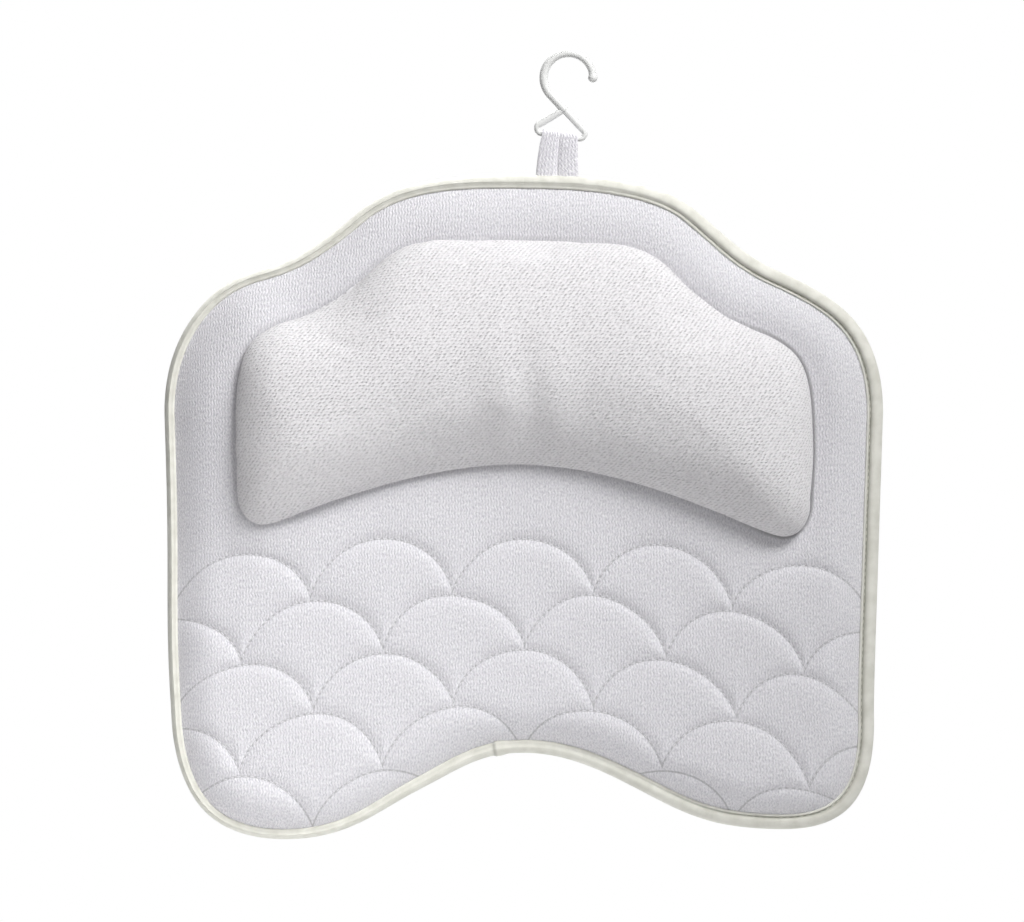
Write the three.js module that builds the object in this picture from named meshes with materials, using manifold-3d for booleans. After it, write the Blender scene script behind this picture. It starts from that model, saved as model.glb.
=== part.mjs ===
// Bath pillow: a quilted mesh pad with a bound edge, a raised headrest, a fabric loop
// that carries a plastic hook, and suction cups held in sewn pockets on its back.
// Units are millimetres. X runs to the viewer's right and Z up, and the front faces -Y.
// The suction lips lie in the plane Y = 0, and a depth is a distance from it to the front.
// Z = 0 is the middle of the pad's height.

import * as THREE from "three";
import { mergeVertices } from "three/addons/utils/BufferGeometryUtils.js";
import Module from "manifold-3d";

const wasm = await Module();
wasm.setup();

// Clearance between pieces that touch or fit into each other
const FIT = 0.3;

// Outline of the pad at the outside of its binding: from a level crown it slopes steeply to a
// flatter shelf, and rounds a shoulder to its side. A pull is the reach of a curve's handle.
const PAD_WIDTH = 430;
const PAD_HEIGHT = 394;
const PAD_CROWN_PULL = 27.8;
const PAD_SLOPE_X = 101.6;
const PAD_SLOPE_DROP = 22;
const PAD_SLOPE_ANGLE = 39.4;
const PAD_SLOPE_PULL = 35.4;
const PAD_SHELF_X = 156;
const PAD_SHELF_DROP = 57.5;
const PAD_SHELF_ANGLE = 19.8;
const PAD_SHELF_PULL = 22.7;
const PAD_SHOULDER_DROP = 142;
const PAD_SHOULDER_PULL = 58.4;
const PAD_TAPER = 5.5;
const PAD_CORNER_RISE = 71;
const PAD_CORNER_PULL_DOWN = 40;
const PAD_CORNER_PULL_IN = 44;
const PAD_LOBE_X = 148;
const PAD_LOBE_PULL = 66;
const PAD_ARCH_PULL = 68;
const PAD_ARCH_RISE = 48.5;

// Outline of the headrest at its widest, below the top of the pad
const HEADREST_WIDTH = 345;
const HEADREST_HEIGHT = 174;
const HEADREST_DROP = 38;
const HEADREST_CROWN_PULL = 54.7;
const HEADREST_SLOPE_X = 96;
const HEADREST_SLOPE_DROP = 23.8;
const HEADREST_SLOPE_ANGLE = 46.4;
const HEADREST_SLOPE_PULL = 37.2;
const HEADREST_SHELF_X = 151.4;
const HEADREST_SHELF_DROP = 56.6;
const HEADREST_SHELF_ANGLE = 30.6;
const HEADREST_SHELF_PULL = 19.2;
const HEADREST_SHOULDER_DROP = 128.3;
const HEADREST_SHOULDER_PULL = 52.6;
const HEADREST_TAPER = 1.5;
const HEADREST_CORNER_RISE = 22;
const HEADREST_CORNER_PULL_DOWN = 14;
const HEADREST_CORNER_PULL_IN = 9;
const HEADREST_LOBE_X = 155;
const HEADREST_LOBE_PULL = 16;
const HEADREST_ARCH_PULL = 72;
const HEADREST_ARCH_RISE = 39.5;

// Headrest cushion: its sides are drawn in to the seam, and its crown rises to a bowed ridge
const HEADREST_RISE = 31;
const HEADREST_SIDE_RISE = 6;
const HEADREST_SEAM_TUCK = 2.5;
const HEADREST_RIDGE_LENGTH = 250;
const HEADREST_RIDGE_DROP = 84;
const HEADREST_RIDGE_BOW_RADIUS = 206;
const HEADREST_WALL = 3;

// The headrest and the quilting are sewn on a touch clockwise of the outline
const SEWN_TILT = 1.3;

// Layers of the pad
const BACK_THICKNESS = 3;
const FRONT_RIM_THICKNESS = 3;
const WADDING_THICKNESS = 11;
const WADDING_EDGE_ROUND = 9;
const PLAIN_LOFT = 5;
const STITCH_LOFT = 2.2;
const ROLL_WIDTH = 17;
const ROLL_WALL = 4;

// Quilting: rows of arcs, each row set half a pitch from the next
const QUILT_PITCH = 84;
const QUILT_ROW_PITCH = 33.3;
const QUILT_CUSP_GAP = 3;
const QUILT_DROP = 216.5;
const QUILT_BOW_RADIUS = 1100;
const QUILT_PUFF = 6.5;
const QUILT_EASE = 8;

// Edge binding: tape folded round the edges of both panels
const BINDING_WIDTH = 10;
const BINDING_TAPE = 1.2;
const BINDING_FOLD = 1.5;
const BINDING_PUFF = 0.5;

// Hanging loop: a strip folded round the hook's bar, with both ends in the binding
const LOOP_X = 20;
const LOOP_WIDTH = 25;
const LOOP_TOP_WIDTH = 21.5;
const LOOP_LENGTH = 22;
const LOOP_CLOTH = 1.3;
const LOOP_JOIN = 6;

// Hook: a round hook on a shank, above a frame with a bar
const HOOK_LEAN = 8;
const HOOK_ROD = 4.9;
const HOOK_RADIUS = 14.7;
const HOOK_NECK = 4.2;
const HOOK_TIP_ANGLE = 8;
const HOOK_TIP_BALL = 5.6;
const FRAME_ROD = 3.4;
const FRAME_BAR_EASE = 2.6;
const FRAME_FLARE = 1.6;
const FRAME_CORNER_RISE = 4;
const FRAME_APEX_RISE = 16.2;
const FRAME_CORNER_ROUND = 2;

// Suction cups in rows and columns, with margins from the pad's sides, from the shelves of its
// outline and from its foot, and the pockets that hold their heads
const CUP_SIDE_MARGIN = 85;
const CUP_SHELF_MARGIN = 34.5;
const CUP_FOOT_MARGIN = 92;
const CUP_COLUMNS = 2;
const CUP_ROWS = 3;
const CUP_RADIUS = 26;
const CUP_LIP_WIDTH = 3.5;
const CUP_LIP_THICKNESS = 1.2;
const CUP_DISH_DEPTH = 7;
const CUP_WALL = 2.2;
const CUP_SHOULDER_RADIUS = 9;
const CUP_NECK_RADIUS = 4;
const CUP_NECK_LENGTH = 3;
const CUP_HEAD_RADIUS = 7.5;
const CUP_HEAD_THICKNESS = 2.6;
const PATCH_CLOTH = 1.2;
const PATCH_RADIUS = 19;
const PATCH_SLOPE = 3;
const PATCH_MARGIN = 3;

// Facets
const PAD_POINTS = 60;
const HEADREST_POINTS = 52;
const CUP_FACETS = 16;
const ROD_FACETS = 8;
const LOOP_FACETS = 10;
const HOOK_STEPS = 24;
const FRAME_STEPS = 34;
const COLUMNS_PER_PITCH = 6;

// Depths of the layers, from the suction lips to the front
const NECK_START = CUP_DISH_DEPTH + CUP_WALL;
const PATCH_FACE = NECK_START + CUP_NECK_LENGTH - FIT - PATCH_CLOTH;
const HEAD_START = NECK_START + CUP_NECK_LENGTH;
const BACK_FACE = HEAD_START + CUP_HEAD_THICKNESS + FIT;
const FRONT_SEAT = BACK_FACE + BACK_THICKNESS + FIT;
const RIM_FACE = FRONT_SEAT + FRONT_RIM_THICKNESS;
const WADDING_FACE = FRONT_SEAT + WADDING_THICKNESS;
const PLAIN_FACE = WADDING_FACE + FIT + PLAIN_LOFT;
const STITCH_FACE = WADDING_FACE + FIT + STITCH_LOFT;
const HEADREST_SEAT = PLAIN_FACE + FIT;
const BINDING_MIDDLE = (BACK_FACE + RIM_FACE) / 2;

// Heights and slopes that several pieces share
const PAD_TOP = PAD_HEIGHT / 2;
const PAD_BOTTOM = -PAD_HEIGHT / 2;
const PANEL_INSET = BINDING_TAPE + BINDING_FOLD + FIT;
const ROLL_INSET = BINDING_WIDTH + FIT;
const TILT_SLOPE = Math.tan(THREE.MathUtils.degToRad(SEWN_TILT));
const SPARE = 10;

// Converts a geometry to a solid that can be joined or cut
function solidOf(geometry) {
  const bare = new THREE.BufferGeometry();
  bare.setAttribute("position", geometry.getAttribute("position"));
  bare.setIndex(geometry.getIndex());
  const merged = mergeVertices(bare, 1e-4);
  return new wasm.Manifold(
    new wasm.Mesh({
      numProp: 3,
      vertProperties: new Float32Array(merged.getAttribute("position").array),
      triVerts: new Uint32Array(merged.getIndex().array),
    }),
  );
}

// Converts a joined or cut solid back to a geometry
function geometryOf(solid) {
  const mesh = solid.getMesh();
  const geometry = new THREE.BufferGeometry();
  geometry.setAttribute("position", new THREE.BufferAttribute(mesh.vertProperties, 3));
  geometry.setIndex(new THREE.BufferAttribute(mesh.triVerts, 1));
  geometry.computeVertexNormals();
  return geometry;
}

// Six times the volume that triangles enclose, negative where they face inwards
function signedVolume(points, triangles) {
  const [a, b, c] = [new THREE.Vector3(), new THREE.Vector3(), new THREE.Vector3()];
  let total = 0;
  for (let i = 0; i < triangles.length; i += 3) {
    a.copy(points[triangles[i]]);
    b.copy(points[triangles[i + 1]]);
    c.copy(points[triangles[i + 2]]);
    total += a.dot(b.cross(c));
  }
  return total;
}

// A closed geometry through rings of equally many points. Each end ring is filled by rungs
// on both sides of its turning point, or the last ring joins the first one.
function loft(rings, { turningPoint = Math.round(rings[0].length / 4), closed = false } = {}) {
  const count = rings[0].length;
  const points = rings.flat();
  const triangles = [];
  const spans = closed ? rings.length : rings.length - 1;
  for (let r = 0; r < spans; r += 1) {
    const here = r * count;
    const next = ((r + 1) % rings.length) * count;
    for (let i = 0; i < count; i += 1) {
      const j = (i + 1) % count;
      triangles.push(here + i, next + j, here + j, here + i, next + i, next + j);
    }
  }
  const last = (rings.length - 1) * count;
  for (let i = 0; !closed && i < count / 2 - 1; i += 1) {
    const a = (turningPoint + i) % count;
    const b = (turningPoint + i + 1) % count;
    const c = (turningPoint - 2 - i + count) % count;
    const d = (turningPoint - 1 - i + count) % count;
    triangles.push(a, b, c, a, c, d);
    triangles.push(last + a, last + c, last + b, last + a, last + d, last + c);
  }
  if (signedVolume(points, triangles) < 0) triangles.reverse();
  const geometry = new THREE.BufferGeometry().setFromPoints(points);
  geometry.setIndex(triangles);
  geometry.computeVertexNormals();
  return geometry;
}

// Direction to the right and down at an angle below level
function downwards(angle) {
  const turn = THREE.MathUtils.degToRad(angle);
  return new THREE.Vector2(Math.cos(turn), -Math.sin(turn));
}

// A closed outline of equally spaced points, clockwise from its top centre: crown, slope, shelf,
// shoulder, side, lower corner and lobe, then half of the arch, and the same mirrored.
function padOutline(size, count) {
  const side = size.width / 2;
  const foot = side - size.taper;
  const bottom = size.top - size.height;
  const shoulderZ = size.top - size.shoulderDrop;
  const slope = new THREE.Vector2(size.slopeX, size.top - size.slopeDrop);
  const shelf = new THREE.Vector2(size.shelfX, size.top - size.shelfDrop);
  const slopeReach = downwards(size.slopeAngle).multiplyScalar(size.slopePull);
  const shelfReach = downwards(size.shelfAngle).multiplyScalar(size.shelfPull);
  const half = new THREE.Path();
  half.moveTo(0, size.top);
  half.bezierCurveTo(
    size.crownPull,
    size.top,
    slope.x - slopeReach.x,
    slope.y - slopeReach.y,
    slope.x,
    slope.y,
  );
  half.bezierCurveTo(
    slope.x + slopeReach.x,
    slope.y + slopeReach.y,
    shelf.x - shelfReach.x,
    shelf.y - shelfReach.y,
    shelf.x,
    shelf.y,
  );
  half.bezierCurveTo(
    shelf.x + shelfReach.x,
    shelf.y + shelfReach.y,
    side,
    shoulderZ + size.shoulderPull,
    side,
    shoulderZ,
  );
  half.lineTo(foot, bottom + size.cornerRise);
  half.bezierCurveTo(
    foot,
    bottom + size.cornerRise - size.cornerPullDown,
    size.lobeX + size.cornerPullIn,
    bottom,
    size.lobeX,
    bottom,
  );
  half.bezierCurveTo(
    size.lobeX - size.lobePull,
    bottom,
    size.archPull,
    bottom + size.archRise,
    0,
    bottom + size.archRise,
  );
  const right = half.getSpacedPoints(count / 2);
  const left = right.slice(1, -1).reverse();
  return [...right, ...left.map((p) => new THREE.Vector2(-p.x, p.y))];
}

// An outline moved inwards, square to itself
function inset(outline, distance) {
  return outline.map((p, i) => {
    const before = outline.at(i - 1);
    const after = outline[(i + 1) % outline.length];
    const along = after.clone().sub(before).normalize();
    return new THREE.Vector2(p.x + along.y * distance, p.y - along.x * distance);
  });
}

// An outline as a ring at one depth
function ringAt(outline, depth) {
  return outline.map((p) => new THREE.Vector3(p.x, -depth, p.y));
}

// Rings of an outline through a profile of insets and depths
function insetRings(outline, profile) {
  return profile.map(([distance, depth]) => ringAt(inset(outline, distance), depth));
}

const padEdge = padOutline(
  {
    width: PAD_WIDTH,
    height: PAD_HEIGHT,
    top: PAD_TOP,
    crownPull: PAD_CROWN_PULL,
    slopeX: PAD_SLOPE_X,
    slopeDrop: PAD_SLOPE_DROP,
    slopeAngle: PAD_SLOPE_ANGLE,
    slopePull: PAD_SLOPE_PULL,
    shelfX: PAD_SHELF_X,
    shelfDrop: PAD_SHELF_DROP,
    shelfAngle: PAD_SHELF_ANGLE,
    shelfPull: PAD_SHELF_PULL,
    shoulderDrop: PAD_SHOULDER_DROP,
    shoulderPull: PAD_SHOULDER_PULL,
    taper: PAD_TAPER,
    cornerRise: PAD_CORNER_RISE,
    cornerPullDown: PAD_CORNER_PULL_DOWN,
    cornerPullIn: PAD_CORNER_PULL_IN,
    lobeX: PAD_LOBE_X,
    lobePull: PAD_LOBE_PULL,
    archPull: PAD_ARCH_PULL,
    archRise: PAD_ARCH_RISE,
  },
  PAD_POINTS,
);

const headrestEdge = padOutline(
  {
    width: HEADREST_WIDTH,
    height: HEADREST_HEIGHT,
    top: PAD_TOP - HEADREST_DROP,
    crownPull: HEADREST_CROWN_PULL,
    slopeX: HEADREST_SLOPE_X,
    slopeDrop: HEADREST_SLOPE_DROP,
    slopeAngle: HEADREST_SLOPE_ANGLE,
    slopePull: HEADREST_SLOPE_PULL,
    shelfX: HEADREST_SHELF_X,
    shelfDrop: HEADREST_SHELF_DROP,
    shelfAngle: HEADREST_SHELF_ANGLE,
    shelfPull: HEADREST_SHELF_PULL,
    shoulderDrop: HEADREST_SHOULDER_DROP,
    shoulderPull: HEADREST_SHOULDER_PULL,
    taper: HEADREST_TAPER,
    cornerRise: HEADREST_CORNER_RISE,
    cornerPullDown: HEADREST_CORNER_PULL_DOWN,
    cornerPullIn: HEADREST_CORNER_PULL_IN,
    lobeX: HEADREST_LOBE_X,
    lobePull: HEADREST_LOBE_PULL,
    archPull: HEADREST_ARCH_PULL,
    archRise: HEADREST_ARCH_RISE,
  },
  HEADREST_POINTS,
).map((p) => new THREE.Vector2(p.x, p.y - p.x * TILT_SLOPE));

// Height of a stitch row at x: arcs that meet in cusps just above the next row's peaks
function quiltLine(row, x) {
  const rise = QUILT_ROW_PITCH - QUILT_CUSP_GAP;
  const halfChord = QUILT_PITCH / 2;
  const radius = (halfChord ** 2 + rise ** 2) / (2 * rise);
  const turn = x / QUILT_PITCH + (row % 2) / 2;
  const fromPeak = (turn - Math.round(turn)) * QUILT_PITCH;
  const arcDrop = radius - Math.sqrt(radius ** 2 - fromPeak ** 2);
  const bowDrop = x ** 2 / (2 * QUILT_BOW_RADIUS) + x * TILT_SLOPE;
  return PAD_TOP - QUILT_DROP - row * QUILT_ROW_PITCH - arcDrop - bowDrop;
}

// One column of the quilted face at x, from above the pad to below it, closed behind the pad
function quiltColumn(x, rows) {
  const first = quiltLine(0, x);
  const column = [
    [PAD_TOP + SPARE, PLAIN_FACE],
    [first + QUILT_EASE, PLAIN_FACE],
    [first, STITCH_FACE],
  ];
  const widest = 2 * QUILT_ROW_PITCH - QUILT_CUSP_GAP;
  for (let row = 0; row < rows; row += 1) {
    const start = quiltLine(row, x);
    const gap = start - quiltLine(row + 1, x);
    const puff = QUILT_PUFF * Math.sqrt(gap / widest);
    column.push([start - gap * 0.2, STITCH_FACE + puff * 0.8]);
    column.push([start - gap * 0.65, STITCH_FACE + puff]);
    column.push([start - gap, STITCH_FACE]);
  }
  const behind = column.map(([z]) => [z, FRONT_SEAT - SPARE]).reverse();
  return [...column, ...behind].map(([z, depth]) => new THREE.Vector3(x, -depth, z));
}

// A slab with the quilted relief on its face, larger than the pad all round
function quiltedSlab() {
  const lowest = PAD_BOTTOM - SPARE;
  const rows = Math.ceil((PAD_TOP - QUILT_DROP - lowest) / QUILT_ROW_PITCH);
  const step = QUILT_PITCH / COLUMNS_PER_PITCH;
  const reach = Math.ceil((PAD_WIDTH / 2 + SPARE) / step);
  const columns = [];
  for (let i = -reach; i <= reach; i += 1) columns.push(quiltColumn(i * step, rows));
  return loft(columns, { turningPoint: 0 });
}

// Wadding sheet with a rounded front edge, grown all round by a clearance
function waddingRings(growth) {
  const edge = ROLL_INSET + ROLL_WALL - growth;
  const face = WADDING_FACE + growth;
  const back = FRONT_SEAT - (growth > 0 ? SPARE : 0);
  return insetRings(padEdge, [
    [edge, back],
    [edge, face - WADDING_EDGE_ROUND * 0.75],
    [edge + WADDING_EDGE_ROUND * 0.3, face - WADDING_EDGE_ROUND * 0.2],
    [edge + WADDING_EDGE_ROUND, face],
  ]);
}

// Front panel: a flat rim inside the binding, a rolled edge and the quilted face
function frontPanel() {
  const crest = STITCH_FACE + QUILT_PUFF;
  const rise = crest - RIM_FACE;
  const envelope = loft(
    insetRings(padEdge, [
      [PANEL_INSET, FRONT_SEAT],
      [PANEL_INSET, RIM_FACE],
      [ROLL_INSET, RIM_FACE],
      [ROLL_INSET + ROLL_WIDTH * 0.04, RIM_FACE + rise * 0.35],
      [ROLL_INSET + ROLL_WIDTH * 0.25, RIM_FACE + rise * 0.7],
      [ROLL_INSET + ROLL_WIDTH * 0.6, RIM_FACE + rise * 0.9],
      [ROLL_INSET + ROLL_WIDTH, crest + FIT],
    ]),
  );
  const face = solidOf(envelope).intersect(solidOf(quiltedSlab()));
  return geometryOf(face.subtract(solidOf(loft(waddingRings(FIT)))));
}

function wadding() {
  return loft(waddingRings(0));
}

function backPanel() {
  return loft(
    insetRings(padEdge, [
      [PANEL_INSET, BACK_FACE],
      [PANEL_INSET, BACK_FACE + BACK_THICKNESS],
    ]),
  );
}

// Binding: a folded tape round both rims, its outer side from back to front and its inner
// side from front to back
function edgeBinding() {
  const front = RIM_FACE + FIT;
  const back = BACK_FACE - FIT;
  const nose = BINDING_TAPE + BINDING_FOLD;
  const outFront = front + BINDING_TAPE;
  const outBack = back - BINDING_TAPE;
  const profile = [
    [BINDING_WIDTH, outBack],
    [BINDING_WIDTH * 0.55, outBack - BINDING_PUFF],
    [nose * 0.5, outBack + BINDING_TAPE],
    [0, BINDING_MIDDLE - LOOP_CLOTH - FIT],
    [0, BINDING_MIDDLE + LOOP_CLOTH + FIT],
    [nose * 0.5, outFront - BINDING_TAPE],
    [BINDING_WIDTH * 0.55, outFront + BINDING_PUFF],
    [BINDING_WIDTH, outFront],
    [BINDING_WIDTH, front],
    [nose, front],
    [nose, back],
    [BINDING_WIDTH, back],
  ];
  return loft(insetRings(padEdge, profile), { closed: true });
}

// Rings of the headrest from its seat to its ridge, taken in all round by a wall
function headrestRings(wall, seat) {
  const ridgeScale = HEADREST_RIDGE_LENGTH / HEADREST_WIDTH;
  const ridgeZ = PAD_TOP - HEADREST_DROP - HEADREST_RIDGE_DROP;
  const ridge = headrestEdge.map((p) => {
    const x = p.x * ridgeScale;
    const z = ridgeZ - x ** 2 / (2 * HEADREST_RIDGE_BOW_RADIUS) - x * TILT_SLOPE;
    return new THREE.Vector2(x, z);
  });
  const side = inset(headrestEdge, wall);
  const rings = [
    ringAt(inset(headrestEdge, HEADREST_SEAM_TUCK + wall), seat),
    ringAt(inset(headrestEdge, HEADREST_SEAM_TUCK * 0.3 + wall), HEADREST_SEAT + HEADREST_SIDE_RISE * 0.4),
    ringAt(side, HEADREST_SEAT + HEADREST_SIDE_RISE),
  ];
  const crown = HEADREST_RISE - HEADREST_SIDE_RISE - wall;
  for (const share of [0.07, 0.22, 0.45, 0.7, 0.95]) {
    const rise = crown * Math.sqrt(1 - (1 - share) ** 2);
    const outline = side.map((p, i) => p.clone().lerp(ridge[i], share));
    rings.push(ringAt(outline, HEADREST_SEAT + HEADREST_SIDE_RISE + rise));
  }
  return rings;
}

// Headrest cover: a crowned shell, open where it is sewn to the front panel
function headrestCover() {
  const outside = solidOf(loft(headrestRings(0, HEADREST_SEAT)));
  const inside = solidOf(loft(headrestRings(HEADREST_WALL, HEADREST_SEAT - FIT)));
  return geometryOf(outside.subtract(inside));
}

function headrestFilling() {
  return loft(headrestRings(HEADREST_WALL + FIT, HEADREST_SEAT));
}

// Where the loop leaves the binding's crest, and how far the crest slopes there
function loopSeat() {
  const next = padEdge.findIndex((p, i) => i > 0 && p.x >= LOOP_X);
  const [a, b] = [padEdge[next - 1], padEdge[next]];
  const crest = a.clone().lerp(b, (LOOP_X - a.x) / (b.x - a.x));
  return { crest, slope: Math.atan2(a.y - b.y, b.x - a.x) };
}

// A point of the bent strip, from its place across, its place along and its place in Y
function bentStrip(across, along, y, slope) {
  const lean = THREE.MathUtils.degToRad(HOOK_LEAN);
  const share = along / LOOP_LENGTH;
  const angle = slope + (lean - slope) * share;
  const middle = slope + ((lean - slope) * share) / 2;
  const narrowing = 1 + (LOOP_TOP_WIDTH / LOOP_WIDTH - 1) * share;
  return new THREE.Vector3(
    along * Math.sin(middle) + across * narrowing * Math.cos(angle),
    y,
    along * Math.cos(middle) - across * narrowing * Math.sin(angle),
  );
}

// Hanging loop about its seam: two layers that part round the bar, with a round lower end
function hangingLoop(slope) {
  const eye = FRAME_ROD / 2 + FIT;
  const outerTilt = Math.asin(eye / LOOP_LENGTH);
  const innerTilt = Math.asin(eye / (LOOP_LENGTH - LOOP_JOIN));
  const section = new THREE.Shape();
  section.absarc(0, 0, LOOP_CLOTH, Math.PI + outerTilt, 2 * Math.PI - outerTilt, false);
  section.absarc(0, LOOP_LENGTH, eye + LOOP_CLOTH, -outerTilt, Math.PI + outerTilt, false);
  const hole = new THREE.Path();
  hole.absarc(0, LOOP_LENGTH, eye, -innerTilt, Math.PI + innerTilt, false);
  hole.lineTo(0, LOOP_JOIN);
  section.holes.push(hole);
  const strip = new THREE.ExtrudeGeometry(section, {
    depth: LOOP_WIDTH,
    bevelEnabled: false,
    curveSegments: LOOP_FACETS / 2,
  });
  const place = strip.getAttribute("position");
  for (let i = 0; i < place.count; i += 1) {
    const across = place.getZ(i) - LOOP_WIDTH / 2;
    const bent = bentStrip(across, place.getY(i), place.getX(i), slope);
    place.setXYZ(i, bent.x, bent.y, bent.z);
  }
  return strip;
}

// A round rod along points in the hook's plane
function rod(path, diameter, steps) {
  const points = path.getSpacedPoints(steps).map((p) => new THREE.Vector3(p.x, 0, p.y));
  const section = new THREE.Shape();
  section.absarc(0, 0, diameter / 2, 0, 2 * Math.PI, false);
  return new THREE.ExtrudeGeometry(section, {
    steps,
    extrudePath: new THREE.CatmullRomCurve3(points),
    curveSegments: ROD_FACETS / 2,
  });
}

function ball(diameter, place) {
  const sphere = new THREE.SphereGeometry(diameter / 2, ROD_FACETS, ROD_FACETS - 2);
  sphere.translate(place.x, 0, place.y);
  return sphere;
}

// A path through corners, each rounded over a reach
function roundedPath(corners, reach) {
  const path = new THREE.Path();
  path.moveTo(corners[0].x, corners[0].y);
  for (let i = 1; i < corners.length - 1; i += 1) {
    const corner = corners[i];
    const before = corners[i - 1].clone().sub(corner).setLength(reach).add(corner);
    const after = corners[i + 1].clone().sub(corner).setLength(reach).add(corner);
    path.lineTo(before.x, before.y);
    path.quadraticCurveTo(corner.x, corner.y, after.x, after.y);
  }
  path.lineTo(corners.at(-1).x, corners.at(-1).y);
  return path;
}

// Hook about the middle of its bar: the round hook runs tangent into a shank, which meets
// the frame at its apex
function hook() {
  const apex = new THREE.Vector2(0, FRAME_APEX_RISE);
  const centreRise = FRAME_APEX_RISE + HOOK_NECK + HOOK_RADIUS;
  const tangent = Math.acos(HOOK_RADIUS / (HOOK_RADIUS + HOOK_NECK));
  const tipAngle = THREE.MathUtils.degToRad(HOOK_TIP_ANGLE);
  const curl = new THREE.Path();
  curl.absarc(0, centreRise, HOOK_RADIUS, tipAngle, 1.5 * Math.PI - tangent, false);
  curl.lineTo(apex.x, apex.y);
  const tip = curl.getPoint(0);
  const barEnd = new THREE.Vector2(LOOP_TOP_WIDTH / 2 + FRAME_BAR_EASE, 0);
  const corner = new THREE.Vector2(barEnd.x + FRAME_FLARE, FRAME_CORNER_RISE);
  const mirrored = (p) => new THREE.Vector2(-p.x, p.y);
  const frame = roundedPath(
    [apex, corner, barEnd, mirrored(barEnd), mirrored(corner), apex],
    FRAME_CORNER_ROUND,
  );
  const pieces = [
    rod(curl, HOOK_ROD, HOOK_STEPS),
    rod(frame, FRAME_ROD, FRAME_STEPS),
    ball(HOOK_TIP_BALL, tip),
    ball(HOOK_ROD, apex),
  ];
  const joined = pieces.map(solidOf).reduce((all, piece) => all.add(piece));
  return geometryOf(joined);
}

// A solid of revolution about Y from a profile of radii and depths, anticlockwise with the
// depth drawn upwards
function turned(profile) {
  const points = profile.map(([radius, depth]) => new THREE.Vector2(radius, -depth));
  return new THREE.LatheGeometry(points.reverse(), CUP_FACETS);
}

// Suction cup: flat lip, domed dish, neck and the head that the pocket holds
function suctionCup() {
  const dishRadius = CUP_RADIUS - CUP_LIP_WIDTH;
  const dish = [0, 0.35, 0.65, 0.85].map((share) => [
    dishRadius * share,
    CUP_DISH_DEPTH * (1 - share ** 2),
  ]);
  return turned([
    ...dish,
    [dishRadius, 0],
    [CUP_RADIUS, 0],
    [CUP_RADIUS, CUP_LIP_THICKNESS],
    [dishRadius * 0.85, CUP_DISH_DEPTH * 0.2775 + CUP_WALL],
    [(dishRadius + CUP_SHOULDER_RADIUS) / 2, CUP_DISH_DEPTH * 0.7 + CUP_WALL],
    [CUP_SHOULDER_RADIUS, NECK_START],
    [CUP_NECK_RADIUS, NECK_START],
    [CUP_NECK_RADIUS, HEAD_START],
    [CUP_HEAD_RADIUS, HEAD_START],
    [CUP_HEAD_RADIUS, HEAD_START + CUP_HEAD_THICKNESS],
    [0, HEAD_START + CUP_HEAD_THICKNESS],
  ]);
}

// Pocket round a cup's head: a raised face with a hole, and a hem sewn to the back panel
function cupPatch() {
  const crown = CUP_HEAD_RADIUS + PATCH_MARGIN;
  const foot = crown + PATCH_SLOPE;
  const hole = CUP_NECK_RADIUS + FIT;
  const hem = BACK_FACE - FIT;
  return turned([
    [hole, PATCH_FACE + PATCH_CLOTH],
    [hole, PATCH_FACE],
    [crown, PATCH_FACE],
    [foot, hem - PATCH_CLOTH],
    [PATCH_RADIUS, hem - PATCH_CLOTH],
    [PATCH_RADIUS, hem],
    [foot - PATCH_CLOTH * 0.4, hem],
    [crown - PATCH_CLOTH * 0.4, PATCH_FACE + PATCH_CLOTH],
    [hole, PATCH_FACE + PATCH_CLOTH],
  ]);
}

const FINISHES = {
  quilted_mesh: { color: 0xe3e0ea, roughness: 0.9 },
  headrest_mesh: { color: 0xebe7ec, roughness: 0.9 },
  fibre: { color: 0xf4f4f4, roughness: 1 },
  woven_tape: { color: 0xe3e2d6, roughness: 0.8 },
  loop_mesh: { color: 0xf0efec, roughness: 0.85 },
  hook_plastic: { color: 0xf3f4f2, roughness: 0.25 },
  clear_vinyl: { color: 0xdfe6e6, roughness: 0.15 },
};

function piece(name, finish, geometry) {
  const material = new THREE.MeshStandardMaterial({ ...FINISHES[finish], metalness: 0 });
  const mesh = new THREE.Mesh(geometry, material);
  mesh.name = name;
  return mesh;
}

// Loop and hook, each in a group at the axis that it turns about
function hanger() {
  const { crest, slope } = loopSeat();
  const seam = new THREE.Group();
  seam.name = "loop_seam";
  const lift = FIT + LOOP_CLOTH;
  seam.position.set(
    crest.x + lift * Math.sin(slope),
    -BINDING_MIDDLE,
    crest.y + lift * Math.cos(slope),
  );
  const bar = new THREE.Group();
  bar.name = "hook_bar";
  bar.position.copy(bentStrip(0, LOOP_LENGTH, 0, slope));
  bar.rotation.y = THREE.MathUtils.degToRad(HOOK_LEAN);
  bar.add(piece("hook", "hook_plastic", hook()));
  seam.add(piece("hanging_loop", "loop_mesh", hangingLoop(slope)), bar);
  return seam;
}

// Cups and their pockets, numbered along each row from the top
function cups() {
  const group = new THREE.Group();
  const left = CUP_SIDE_MARGIN - PAD_WIDTH / 2;
  const top = PAD_TOP - PAD_SHELF_DROP - CUP_SHELF_MARGIN;
  const columnSpacing = (-2 * left) / (CUP_COLUMNS - 1);
  const rowSpacing = (top - PAD_BOTTOM - CUP_FOOT_MARGIN) / (CUP_ROWS - 1);
  let number = 0;
  for (let row = 0; row < CUP_ROWS; row += 1) {
    for (let column = 0; column < CUP_COLUMNS; column += 1) {
      number += 1;
      const x = left + column * columnSpacing;
      const z = top - row * rowSpacing;
      const cup = piece(`suction_cup_${number}`, "clear_vinyl", suctionCup());
      const patch = piece(`cup_patch_${number}`, "quilted_mesh", cupPatch());
      cup.position.set(x, 0, z);
      patch.position.set(x, 0, z);
      group.add(cup, patch);
    }
  }
  return group;
}

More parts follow.
